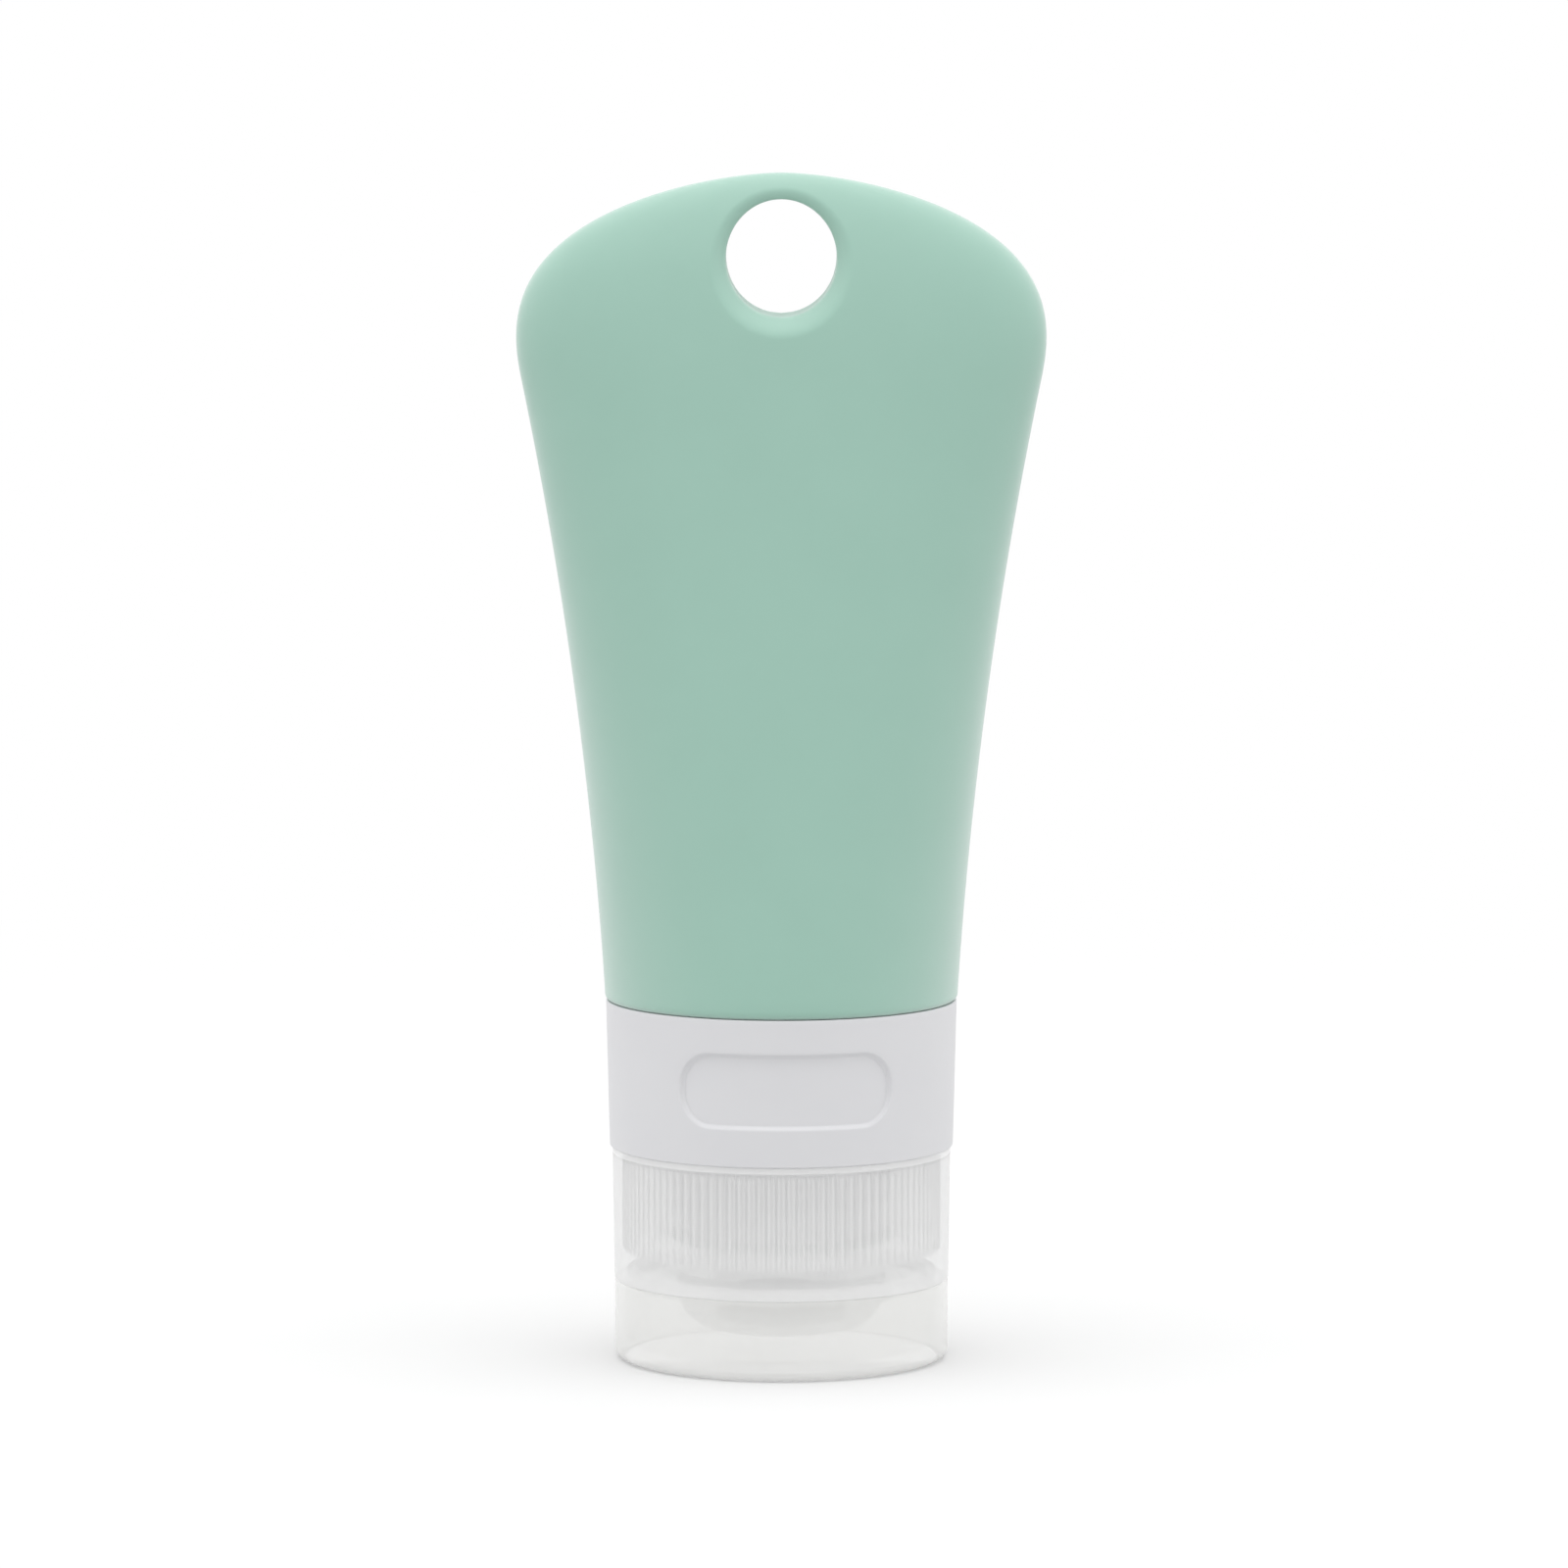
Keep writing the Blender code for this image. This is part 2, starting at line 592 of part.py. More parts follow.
def half_width(z):
    """Half of the body's width: a gentle flare that a broad arch closes at the top."""
    rise = max(0.0, z - BODY_FLARE_Z) / (WIDEST_Z - BODY_FLARE_Z)
    flare = FLARE_START_SHARE * rise + (1 - FLARE_START_SHARE) * rise**2
    arch = max(0.0, z - ARCH_Z) / ARCH_HEIGHT
    return (BODY_RADIUS + TAIL_FLARE * flare) * (1 - arch**ARCH_WIDTH_POWER) ** ARCH_WIDTH_ROOT


def half_thickness(z):
    """Half of the body's thickness: a straight wedge that rounds over into a ridge at the top."""
    rise = max(0.0, z - BODY_FLARE_Z) / (WIDEST_Z - BODY_FLARE_Z)
    wedge = BODY_RADIUS + (TAIL_THICKNESS / 2 - BODY_RADIUS) * rise
    arch = max(0.0, z - ARCH_Z) / ARCH_HEIGHT
    return wedge * math.sqrt(1 - arch**ARCH_THICKNESS_POWER)


def section_power(z):
    """The exponent of the body's section, from a circle at the neck to a fuller oval at the tail."""
    rise = max(0.0, z - BODY_FLARE_Z) / (WIDEST_Z - BODY_FLARE_Z)
    return ROUND_POWER + (TAIL_POWER - ROUND_POWER) * min(1.0, rise)


def oval(width, thickness, power, z):
    """A ring of points on an oval with the given half width and half thickness."""
    points = []
    for i in range(SEGMENTS):
        across = math.cos(math.tau * i / SEGMENTS)
        along = math.sin(math.tau * i / SEGMENTS)
        x = width * math.copysign(abs(across) ** (2 / power), across)
        y = thickness * math.copysign(abs(along) ** (2 / power), along)
        points.append((x, y, z))
    return points


def circle(radius, z):
    return oval(radius, radius, ROUND_POWER, z)


def outside_rings():
    """The body's outer skin, from the edge of its round end to just below the top."""
    edge_center = (BODY_RADIUS - BODY_EDGE_RADIUS, BODY_FLARE_Z)
    rings = [circle(radius, z) for radius, z in arc(edge_center, BODY_EDGE_RADIUS, -90, 0)]
    flare_step = (ARCH_Z - BODY_FLARE_Z) / FLARE_RINGS
    arch_step = math.pi / 2 / ARCH_RINGS
    levels = [BODY_FLARE_Z + flare_step * i for i in range(1, FLARE_RINGS + 1)]
    levels += [ARCH_Z + ARCH_HEIGHT * math.sin(arch_step * i) for i in range(1, ARCH_RINGS)]
    return rings + [oval(half_width(z), half_thickness(z), section_power(z), z) for z in levels]


def cavity_ring(z):
    end_z = CAVITY_TOP_Z - CAVITY_END_HEIGHT
    end = math.sqrt(1 - (max(0.0, z - end_z) / CAVITY_END_HEIGHT) ** CAVITY_END_POWER)
    width = (half_width(z) - BODY_WALL) * end
    thickness = (half_thickness(z) - BODY_WALL) * end
    return oval(width, thickness, section_power(z), z)


def cavity_rings():
    """The inner skin, from just below the cavity's closed end down to its floor."""
    floor_z = BODY_BOTTOM_Z + BODY_WALL
    low_z = floor_z + FLOOR_FILLET
    end_z = CAVITY_TOP_Z - CAVITY_END_HEIGHT
    end_step = math.pi / 2 / CAVITY_END_RINGS
    levels = [end_z + CAVITY_END_HEIGHT * math.cos(end_step * i) for i in range(1, CAVITY_END_RINGS)]
    levels += [end_z + (low_z - end_z) * i / CAVITY_RINGS for i in range(CAVITY_RINGS + 1)]
    rings = [cavity_ring(z) for z in levels]
    rings.append(circle(half_width(low_z) - BODY_WALL - FLOOR_FILLET, floor_z))
    return rings


def face_y(x, z):
    """How far the body's front face stands from its middle plane at (x, z)."""
    power = section_power(z)
    across = min(1.0, abs(x) / half_width(z))
    return half_thickness(z) * (1 - across**power) ** (1 / power)


def hole_shape():
    """The hanging hole: an oval tunnel with its two mouths rounded over where they meet the faces."""
    edge_step = math.radians(HOLE_EDGE_SWEEP_DEG) / HOLE_EDGE_RINGS
    edge = [edge_step * i for i in range(HOLE_EDGE_RINGS + 1)]
    flares = [HOLE_EDGE_RADIUS * (1 - math.cos(angle)) for angle in edge]
    depths = [HOLE_EDGE_RADIUS * (1 - math.sin(angle)) for angle in edge]
    rings = []
    for side in (-1, 1):
        mouth = []
        for flare, depth in zip(flares, depths):
            outline = hole_outline(flare)
            mouth.append([(x, side * (face_y(x, z) - depth), z) for x, z in outline])
        mouth.append([(x, side * TAIL_THICKNESS, z) for x, z in hole_outline(flares[-1])])
        rings += mouth[::side]
    return skin(rings)


def hole_outline(flare):
    """The oval of the tunnel, wider all round by flare."""
    points = []
    for i in range(HOLE_SEGMENTS):
        angle = math.tau * i / HOLE_SEGMENTS
        x = (HOLE_WIDTH / 2 + flare) * math.cos(angle)
        z = HOLE_Z + (HOLE_HEIGHT / 2 + flare) * math.sin(angle)
        points.append((x, z))
    return points


def make_squeeze_body(look, parent):
    """One silicone skin: a neck that grips the insert, a hollow body and a tail with the hanging hole."""
    rings = [
        [(0, 0, CAVITY_TOP_Z)],
        *cavity_rings(),
        circle(BODY_BORE_RADIUS, BODY_BOTTOM_Z + BODY_WALL),
        circle(BODY_BORE_RADIUS, BODY_NECK_END_Z),
        circle(BODY_NECK_RADIUS, BODY_NECK_END_Z),
        circle(BODY_NECK_RADIUS, BODY_BOTTOM_Z),
        *outside_rings(),
        [(0, 0, BODY_TOP_Z)],
    ]
    body = piece("squeeze_body", skin(rings), look, parent)
    combine(body, "hanging_hole", hole_shape(), "DIFFERENCE")


def main():
    clear_scene()
    mint_silicone = material("mint_silicone", MINT, SILICONE_ROUGHNESS)
    clear_silicone = material("clear_silicone", MILKY_SILICONE, SILICONE_ROUGHNESS)
    white_plastic = material("white_plastic", WHITE, SATIN_ROUGHNESS)
    frosted_plastic = material("frosted_plastic", FROST, FROST_ROUGHNESS)
    clear_plastic = material("clear_plastic", CLEAR, CLEAR_ROUGHNESS)

    bottle = axis_empty("bottle", (0, 0, BODY_BOTTOM_Z))
    collar_axis = axis_empty("collar_axis", (0, 0, COLLAR_BOTTOM_Z), bottle)
    cap_lift = axis_empty("cap_lift", (0, 0, GASKET_BOTTOM_Z), bottle)
    cap_axis = axis_empty("cap_axis", (0, 0, CAP_TOP_Z), cap_lift)
    lid_axis = axis_empty("lid_axis", (0, HINGE_Y, HINGE_Z), cap_axis)

    make_squeeze_body(mint_silicone, bottle)
    make_neck_insert(white_plastic, bottle)
    make_label_ring(white_plastic, bottle)
    make_collar(white_plastic, collar_axis)
    make_gasket(mint_silicone, cap_lift)
    make_cap_body(frosted_plastic, cap_axis)
    make_slit_valve(clear_silicone, cap_axis)
    make_valve_retainer(frosted_plastic, cap_axis)
    make_flip_lid(clear_plastic, lid_axis)


main()
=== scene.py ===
"""Looks of the travel squeeze bottle that stands on its flip cap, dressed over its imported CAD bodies.

The bottle's sizes are in millimetres and the studio's in metres, unless a name says otherwise.
+Z runs up to the hanging hole and -Y is the front.
"""

import logging
import math
from dataclasses import dataclass, field
from enum import Enum

import bmesh
import bpy
import numpy as np
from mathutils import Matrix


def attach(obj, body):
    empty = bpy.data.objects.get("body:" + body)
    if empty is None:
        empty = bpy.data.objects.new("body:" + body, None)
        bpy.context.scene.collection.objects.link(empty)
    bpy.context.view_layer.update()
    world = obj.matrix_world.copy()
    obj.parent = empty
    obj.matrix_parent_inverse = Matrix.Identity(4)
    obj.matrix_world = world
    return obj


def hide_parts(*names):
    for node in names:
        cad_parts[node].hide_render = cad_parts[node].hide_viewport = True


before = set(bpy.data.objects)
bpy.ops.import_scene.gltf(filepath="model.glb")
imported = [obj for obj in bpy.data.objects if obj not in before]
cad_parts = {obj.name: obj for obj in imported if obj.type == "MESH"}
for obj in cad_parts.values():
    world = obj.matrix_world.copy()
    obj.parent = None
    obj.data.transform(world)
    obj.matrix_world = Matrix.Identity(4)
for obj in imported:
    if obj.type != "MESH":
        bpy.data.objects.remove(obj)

LOG = logging.getLogger("travel_bottle")
MM = 0.001
# Points nearer to each other than this many metres are one
MERGE_DISTANCE = 4e-7
# Faces that turn by more than this meet in a hard edge
SHARP_DEG = 32.0
# A rounded corner takes up at most this share of a side
SIDE_SHARE = 0.49
# Points nearer to a surface than this many millimetres lie on it
TOUCH = 0.01
# The attribute that says how much a clear piece's skin hides; where it is low, it also brings in the
# painted shade colour
CLOUD = "cloud"
# The colour sockets of the mix node, which share their names with others
MIX_FIRST = 6
MIX_SECOND = 7
MIX_RESULT = 2

Array = np.ndarray
Colour = tuple[float, float, float, float]
Corner = tuple[float, float, float]
Object = bpy.types.Object
Tree = bpy.types.NodeTree
Socket = bpy.types.NodeSocket

WHITE: Colour = (1.0, 1.0, 1.0, 1.0)


class Body(Enum):
    """The CAD bodies that the pieces ride on."""

    BOTTLE = "bottle"
    COLLAR = "collar"
    CAP_SEAL = "cap_seal"
    CAP = "cap"
    LID = "lid"


class Join(Enum):
    """How a tool shape changes a piece."""

    ADD = "UNION"
    CUT = "DIFFERENCE"


def linear(hex_code: str) -> Colour:
    """Turns an sRGB hex colour into linear values.

    Args:
        hex_code: Six hex digits after a hash.

    Returns:
        Red, green, blue and alpha, as a shader takes them.
    """
    parts = [int(hex_code[i : i + 2], 16) / 255 for i in (1, 3, 5)]
    red, green, blue = [p / 12.92 if p <= 0.04045 else ((p + 0.055) / 1.055) ** 2.4 for p in parts]
    return (red, green, blue, 1.0)


# Shapes


def unit(vectors: Array) -> Array:
    """Scales each vector to length 1."""
    return vectors / np.maximum(np.linalg.norm(vectors, axis=-1, keepdims=True), 1e-12)


def rounded(corners: list[Corner], steps: int = 4, kept: slice = slice(None)) -> Array:
    """Rounds each corner of a closed outline.

    A corner becomes a circular arc: the rational quadratic curve through the two points where the
    arc touches the sides, with the cosine of half the turn as its middle weight.

    Args:
        corners: First coordinate, second coordinate and corner radius of each point.
        steps: Segments in each arc.
        kept: Which corners' arcs are returned.

    Returns:
        The outline's points, one row each.
    """
    table = np.array(corners, float)
    points = table[:, :2]
    before = np.roll(points, 1, axis=0) - points
    after = np.roll(points, -1, axis=0) - points
    shortest = np.minimum(np.linalg.norm(before, axis=1), np.linalg.norm(after, axis=1))
    before = unit(before)
    after = unit(after)
    half_turn = (math.pi - np.arccos(np.clip((before * after).sum(axis=1), -1, 1))) / 2
    reach = np.minimum(table[:, 2] * np.tan(half_turn), SIDE_SHARE * shortest)[:, None]
    start = (points + before * reach)[:, None]
    end = (points + after * reach)[:, None]
    t = np.linspace(0, 1, steps + 1)[None, :, None]
    weights = ((1 - t) ** 2, 2 * np.cos(half_turn)[:, None, None] * t * (1 - t), t**2)
    arcs = (weights[0] * start + weights[1] * points[:, None] + weights[2] * end) / sum(weights)
    return arcs[kept].reshape(-1, 2)


def denser(outline: Array, longest: float) -> Array:
    """Adds points to the sides of an open outline.

    Each side is cut into equal parts, and a point is the side's start plus its share of the side.

    Args:
        outline: The outline's points, one row each.
        longest: Length that no side is longer than afterwards.

    Returns:
        The old and new points in order.
    """
    sides = np.diff(outline, axis=0)
    parts = np.maximum(1, np.ceil(np.linalg.norm(sides, axis=1) / longest)).astype(int)
    side = np.repeat(np.arange(len(sides)), parts)
    share = (np.arange(parts.sum()) - np.repeat(np.cumsum(parts) - parts, parts)) / parts[side]
    return np.vstack([outline[side] + sides[side] * share[:, None], outline[-1:]])


def polar(radius: Array, angle: Array, height: Array) -> Array:
    """Points about Z: x is the radius times the cosine, y times the sine."""
    return np.stack([radius * np.cos(angle), radius * np.sin(angle), height], axis=-1)


def spun(profile: Array, columns: int) -> Array:
    """Turns an outline about Z.

    Args:
        profile: Radius and height of each point.
        columns: Steps of a whole turn.

    Returns:
        A grid of points, one row for each point of the outline.
    """
    angle = np.arange(columns) * (math.tau / columns)
    height = np.broadcast_to(profile[:, 1, None], (len(profile), columns))
    return polar(profile[:, 0, None], angle, height)


def placed(name: str, data: bpy.types.ID) -> Object:
    """Makes an object of its data and puts it into the scene.

    Args:
        name: The object's name.
        data: Its mesh, camera or lamp.

    Returns:
        The new object, at the origin.
    """
    made = bpy.data.objects.new(name, data)
    bpy.context.scene.collection.objects.link(made)
    return made


def around(grid: Array) -> Array:
    """The points round a grid's edge, starting along its first row."""
    return np.concatenate([grid[0, :-1], grid[:-1, -1], grid[-1, :0:-1], grid[:0:-1, 0]])


class Shell:
    """Grids of points that are joined into one closed mesh."""

    def __init__(self) -> None:
        """Starts with no points and no faces."""
        self.points: list[Array] = []
        self.faces: list[Array] = []
        self.count = 0

    def grid(self, points: Array, rows_close: bool, keep: Array | None = None) -> None:
        """Adds a grid with a quad between each four neighbours, whose last column joins the first.

        Args:
            points: Rows by columns by 3.
            rows_close: Whether the last row joins the first.
            keep: Which quads are made, rows by columns, or None for all.
        """
        rows, columns = points.shape[:2]
        row = np.arange(rows if rows_close else rows - 1)[:, None]
        column = np.arange(columns)[None, :]
        below = row * columns
        above = (row + 1) % rows * columns
        beside = (column + 1) % columns
        quads = np.stack([below + column, below + beside, above + beside, above + column], axis=-1)
        quads = quads.reshape(-1, 4) if keep is None else quads[keep]
        self.faces.append(quads + self.count)
        self.points.append(points.reshape(-1, 3))
        self.count += rows * columns

    def cap(self, ring: Array) -> None:
        """Closes a ring with one face.

        Args:
            ring: The ring's points in order, one row each.
        """
        self.faces.append(np.arange(len(ring))[None, :] + self.count)
        self.points.append(ring)
        self.count += len(ring)

    def build(self, name: str) -> Object:
        """Makes the object, with its seams merged and its faces outwards.

        Args:
            name: The object's name.

        Returns:
            The new object, at the origin.
        """
        mesh = bpy.data.meshes.new(name)
        faces = [face for block in self.faces for face in block.tolist()]
        mesh.from_pydata((np.concatenate(self.points) * MM).tolist(), [], faces)
        work = bmesh.new()
        work.from_mesh(mesh)
        bmesh.ops.remove_doubles(work, verts=work.verts, dist=MERGE_DISTANCE)
        bmesh.ops.recalc_face_normals(work, faces=work.faces)
        work.to_mesh(mesh)
        work.free()
        mesh.shade_smooth()
        return placed(name, mesh)


def turned(name: str, profile: Array, columns: int, closed: bool = True) -> Object:
    """Makes a turned object.

    Args:
        name: The object's name.
        profile: Radius and height of each point, from axis to axis where it isn't closed.
        columns: Steps of a whole turn.
        closed: Whether the last point joins the first.

    Returns:
        The new object.
    """
    shell = Shell()
    shell.grid(spun(profile, columns), rows_close=closed)
    return shell.build(name)


def capped(name: str, rings: Array) -> Object:
    """Makes an object from rings of points, with a face across each end.

    Args:
        name: The object's name.
        rings: Rows by columns by 3.

    Returns:
        The new object.
    """
    shell = Shell()
    shell.grid(rings, rows_close=False)
    shell.cap(rings[0])
    shell.cap(rings[-1])
    return shell.build(name)


def combine(obj: Object, tool: Object, how: Join) -> None:
    """Joins a tool shape to a piece or cuts it away.

    Args:
        obj: The piece.
        tool: The shape, which is removed afterwards.
        how: Whether it is added or cut.
    """
    modifier = obj.modifiers.new(tool.name, "BOOLEAN")
    modifier.object = tool
    modifier.operation = how.value
    modifier.solver = "MANIFOLD"
    bpy.context.view_layer.update()
    graph = bpy.context.evaluated_depsgraph_get()
    baked = bpy.data.meshes.new_from_object(obj.evaluated_get(graph))
    obj.modifiers.clear()
    obj.data = baked
    bpy.data.objects.remove(tool)


def crisp(obj: Object) -> None:
    """Keeps flat faces flat beside their rounded edges, and hard corners hard.

    Args:
        obj: The piece.
    """
    obj.data.shade_smooth()
    obj.data.set_sharp_from_angle(angle=math.radians(SHARP_DEG))
    weighted = obj.modifiers.new("flat_faces", "WEIGHTED_NORMAL")
    weighted.keep_sharp = True


@dataclass(frozen=True)
class Thread:
    """A right-hand helical ridge that fades into its wall at both ends."""

    root: float
    crest: float
    start_z: float
    turns: float
    lead: float = 2.5
    start_deg: float = 2.0
    fade_turns: float = 0.08
    crest_half: float = 0.3
    foot_half: float = 0.6
    crest_sunk: float = 0.1
    foot_sunk: float = 0.2
    steps: int = 96

    def rings(self) -> Array:
        """Makes the section's four corners at each step along the helix.

        The corners stay at fixed heights about a helix that climbs one lead a turn. The crest rises
        from just under the wall, and follows a sine over the fade at each end.

        Returns:
            A grid of points, one row for each step.
        """
        turn = np.linspace(0, self.turns, round(self.turns * self.steps) + 1)
        fade = np.sin(np.clip(np.minimum(turn, self.turns - turn) / self.fade_turns, 0, 1) * math.pi / 2)
        side = math.copysign(1, self.root - self.crest)
        sunk = self.root + side * self.crest_sunk
        inner = np.full_like(turn, self.root + side * self.foot_sunk)
        outer = sunk + (self.crest - sunk) * fade
        radius = np.stack([inner, outer, outer, inner], axis=1)
        section = np.array([-self.foot_half, -self.crest_half, self.crest_half, self.foot_half])
        height = self.start_z + self.lead * turn[:, None] + section
        angle = (math.tau * turn + math.radians(self.start_deg))[:, None]
        return polar(radius, angle, height)

    def add_to(self, piece: Object) -> None:
        """Makes the ridge and joins it to the piece that carries it."""
        combine(piece, capped("thread", self.rings()), Join.ADD)


# Finishes


def emptied(owner: bpy.types.Material | bpy.types.World) -> Tree:
    """Switches a material or world to nodes, and clears them.

    Args:
        owner: The material or world.

    Returns:
        Its empty node tree.
    """
    owner.use_nodes = True
    owner.node_tree.nodes.clear()
    return owner.node_tree


def add(tree: Tree, kind: str, inputs: dict, **settings: object) -> bpy.types.Node:
    """Adds a node, sets it and links it.

    Args:
        tree: The material's or world's node tree.
        kind: The node's type.
        inputs: A value, or another node's output, for each socket by name or number.
        **settings: Values for the node's own properties.

    Returns:
        The new node.
    """
    node = tree.nodes.new(kind)
    for name, value in settings.items():
        setattr(node, name, value)
    for name, value in inputs.items():
        if isinstance(value, Socket):
            tree.links.new(value, node.inputs[name])
        else:
            node.inputs[name].default_value = value
    return node


def mixed(tree: Tree, share: Socket, first: Colour, second: Colour | Socket) -> Socket:
    """Adds a mix of two colours, and returns its result."""
    inputs = {"Factor": share, MIX_FIRST: first, MIX_SECOND: second}
    return add(tree, "ShaderNodeMix", inputs, data_type="RGBA").outputs[MIX_RESULT]


def maths(tree: Tree, operation: str, first: Socket, second: Socket | float) -> Socket:
    """Adds a sum on two values, such as MULTIPLY, and returns its result."""
    return add(tree, "ShaderNodeMath", {0: first, 1: second}, operation=operation).outputs[0]


def cloud(obj: Object, share: Array) -> None:
    """Stores on each point of a clear piece how much its skin hides, from 0 to 1, for its finish."""
    attribute = obj.data.attributes.new(CLOUD, "FLOAT", "POINT")
    attribute.data.foreach_set("value", share.astype(np.float32))


def places(obj: Object) -> tuple[Array, Array]:
    """Measures where a piece's points are.

    Args:
        obj: The piece.

    Returns:
        Each point's distance from the Z axis and its height, in millimetres.
    """
    points = np.empty(len(obj.data.vertices) * 3, np.float32)
    obj.data.vertices.foreach_get("co", points)
    points = points.reshape(-1, 3) / MM
    return np.hypot(points[:, 0], points[:, 1]), points[:, 2]


@dataclass(frozen=True)
class Finish:
    """A moulded surface: one resin whose tint drifts a little, with a faint grain that also dulls it.

    A finish with a painted shade colour is clear. The cloud on its points is then its alpha, and its colour
    goes from that painted shade colour at clear_cloud, which paints clear places greyer as if shade showed
    through them, to its own at milky_cloud.
    """

    name: str
    colour: str
    light_colour: str
    roughness: float
    roughness_drift: float = 0.05
    grain_mm: float = 0.35
    grain_depth_mm: float = 0.004
    grain_strength: float = 0.6
    grain_detail: float = 2.0
    drift_mm: float = 9.0
    drift_detail: float = 3.0
    ior: float = 1.49
    # Grey painted into clear places: painted shade for the dark seen through them
    painted_shade_colour: str | None = None
    clear_cloud: float = 0.1
    milky_cloud: float = 0.45
    settings: dict[str, float | tuple[float, float, float]] = field(default_factory=dict)

    def material(self) -> bpy.types.Material:
        """Makes the material.

        Returns:
            A node material whose patterns lie on object coordinates, in metres.
        """
        made = bpy.data.materials.new(self.name)
        tree = emptied(made)
        place = add(tree, "ShaderNodeTexCoord", {}).outputs["Object"]
        drift = self.noise(tree, place, self.drift_mm, self.drift_detail)
        grain = self.noise(tree, place, self.grain_mm, self.grain_detail)
        tint = mixed(tree, drift, linear(self.colour), linear(self.light_colour))
        low = self.roughness - self.roughness_drift
        high = self.roughness + self.roughness_drift
        dull = add(tree, "ShaderNodeMapRange", {"Value": grain, "To Min": low, "To Max": high})
        relief = {"Height": grain, "Strength": self.grain_strength, "Distance": self.grain_depth_mm * MM}
        inputs = {
            "Base Color": tint,
            "Roughness": dull.outputs["Result"],
            "Normal": add(tree, "ShaderNodeBump", relief).outputs["Normal"],
            "IOR": self.ior,
            **self.settings,
        }
        if self.painted_shade_colour:
            hidden = add(tree, "ShaderNodeAttribute", {}, attribute_name=CLOUD).outputs["Fac"]
            ends = {"Value": hidden, "From Min": self.clear_cloud, "From Max": self.milky_cloud}
            milk = add(tree, "ShaderNodeMapRange", ends).outputs["Result"]
            # Painted shade: clear places take the grey painted shade colour
            inputs["Base Color"] = mixed(tree, milk, linear(self.painted_shade_colour), tint)
            inputs["Alpha"] = hidden
        shader = add(tree, "ShaderNodeBsdfPrincipled", inputs)
        add(tree, "ShaderNodeOutputMaterial", {"Surface": shader.outputs["BSDF"]})
        return made

    def noise(self, tree: Tree, place: Socket, size_mm: float, detail: float) -> Socket:
        """Adds a noise whose blotches are about size_mm across, and returns its value."""
        inputs = {"Vector": place, "Scale": 1 / (size_mm * MM), "Detail": detail}
        return add(tree, "ShaderNodeTexNoise", inputs).outputs["Fac"]


# Liquid silicone rubber from a blasted mould: an even, powdery mint green that whitens at its edges
MINT_SILICONE = Finish(
    "mint_liquid_silicone",
    "#8EB5A6",
    "#92B9AA",
    0.58,
    ior=1.41,
    settings={
        "Subsurface Weight": 0.12,
        "Subsurface Scale": 0.0015,
        "Subsurface Radius": (0.8, 1.0, 0.9),
        "Sheen Weight": 0.65,
        "Sheen Roughness": 0.6,
    },
)
# Mint liquid silicone rubber darkened to a deep green for the gasket: painted shade for its rim, which lies
# in shade inside the cap
SHADED_GASKET_SILICONE = Finish("shaded_gasket_silicone", "#567A6A", "#5A7E6E", 0.5, ior=1.41)
# White polypropylene with a satin skin: soft wide highlights and a very slight cool tone
SATIN_WHITE = Finish("satin_white_polypropylene", "#D3D3D6", "#D7D7D9", 0.42)
# Clear copolyester frosted by its mould: milky, and where it is clear enough to see through, greyed by
# painted shade
FROSTED_CLEAR = Finish(
    "frosted_copolyester", "#F9F9F9", "#FDFDFD", 0.34, ior=1.5, painted_shade_colour="#A9AAB0"
)
# The same resin with a finer frost, so that the lid is clearer than the cap, and a paler painted shade
# where it is clear
CLEAR_SATIN = Finish(
    "satin_clear_copolyester", "#FAFAF8", "#FDFDFB", 0.22, ior=1.5, painted_shade_colour="#E8E9E7"
)
# Undyed silicone: soft, cloudy and a little grey
MILKY_SILICONE = Finish(
    "undyed_silicone",
    "#E4E5E4",
    "#EAEBEA",
    0.45,
    ior=1.41,
    settings={
        "Subsurface Weight": 0.5,
        "Subsurface Scale": 0.001,
        "Subsurface Radius": (1.0, 1.0, 1.0),
    },
)


def dress(obj: Object, finish: Finish, body: Body, node: str) -> None:
    """Gives a piece its finish and body, and puts it in the place of its CAD node.

    Args:
        obj: The piece.
        finish: What it is made of.
        body: The CAD body that it rides on.
        node: The CAD node that it replaces.
    """
    made = bpy.data.materials.get(finish.name) or finish.material()
    obj.data.materials.clear()
    obj.data.materials.append(made)
    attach(obj, body.value)
    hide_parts(node)
    LOG.info("%s: %d faces, on %s", obj.name, len(obj.data.polygons), body.value)


# Sub-assemblies


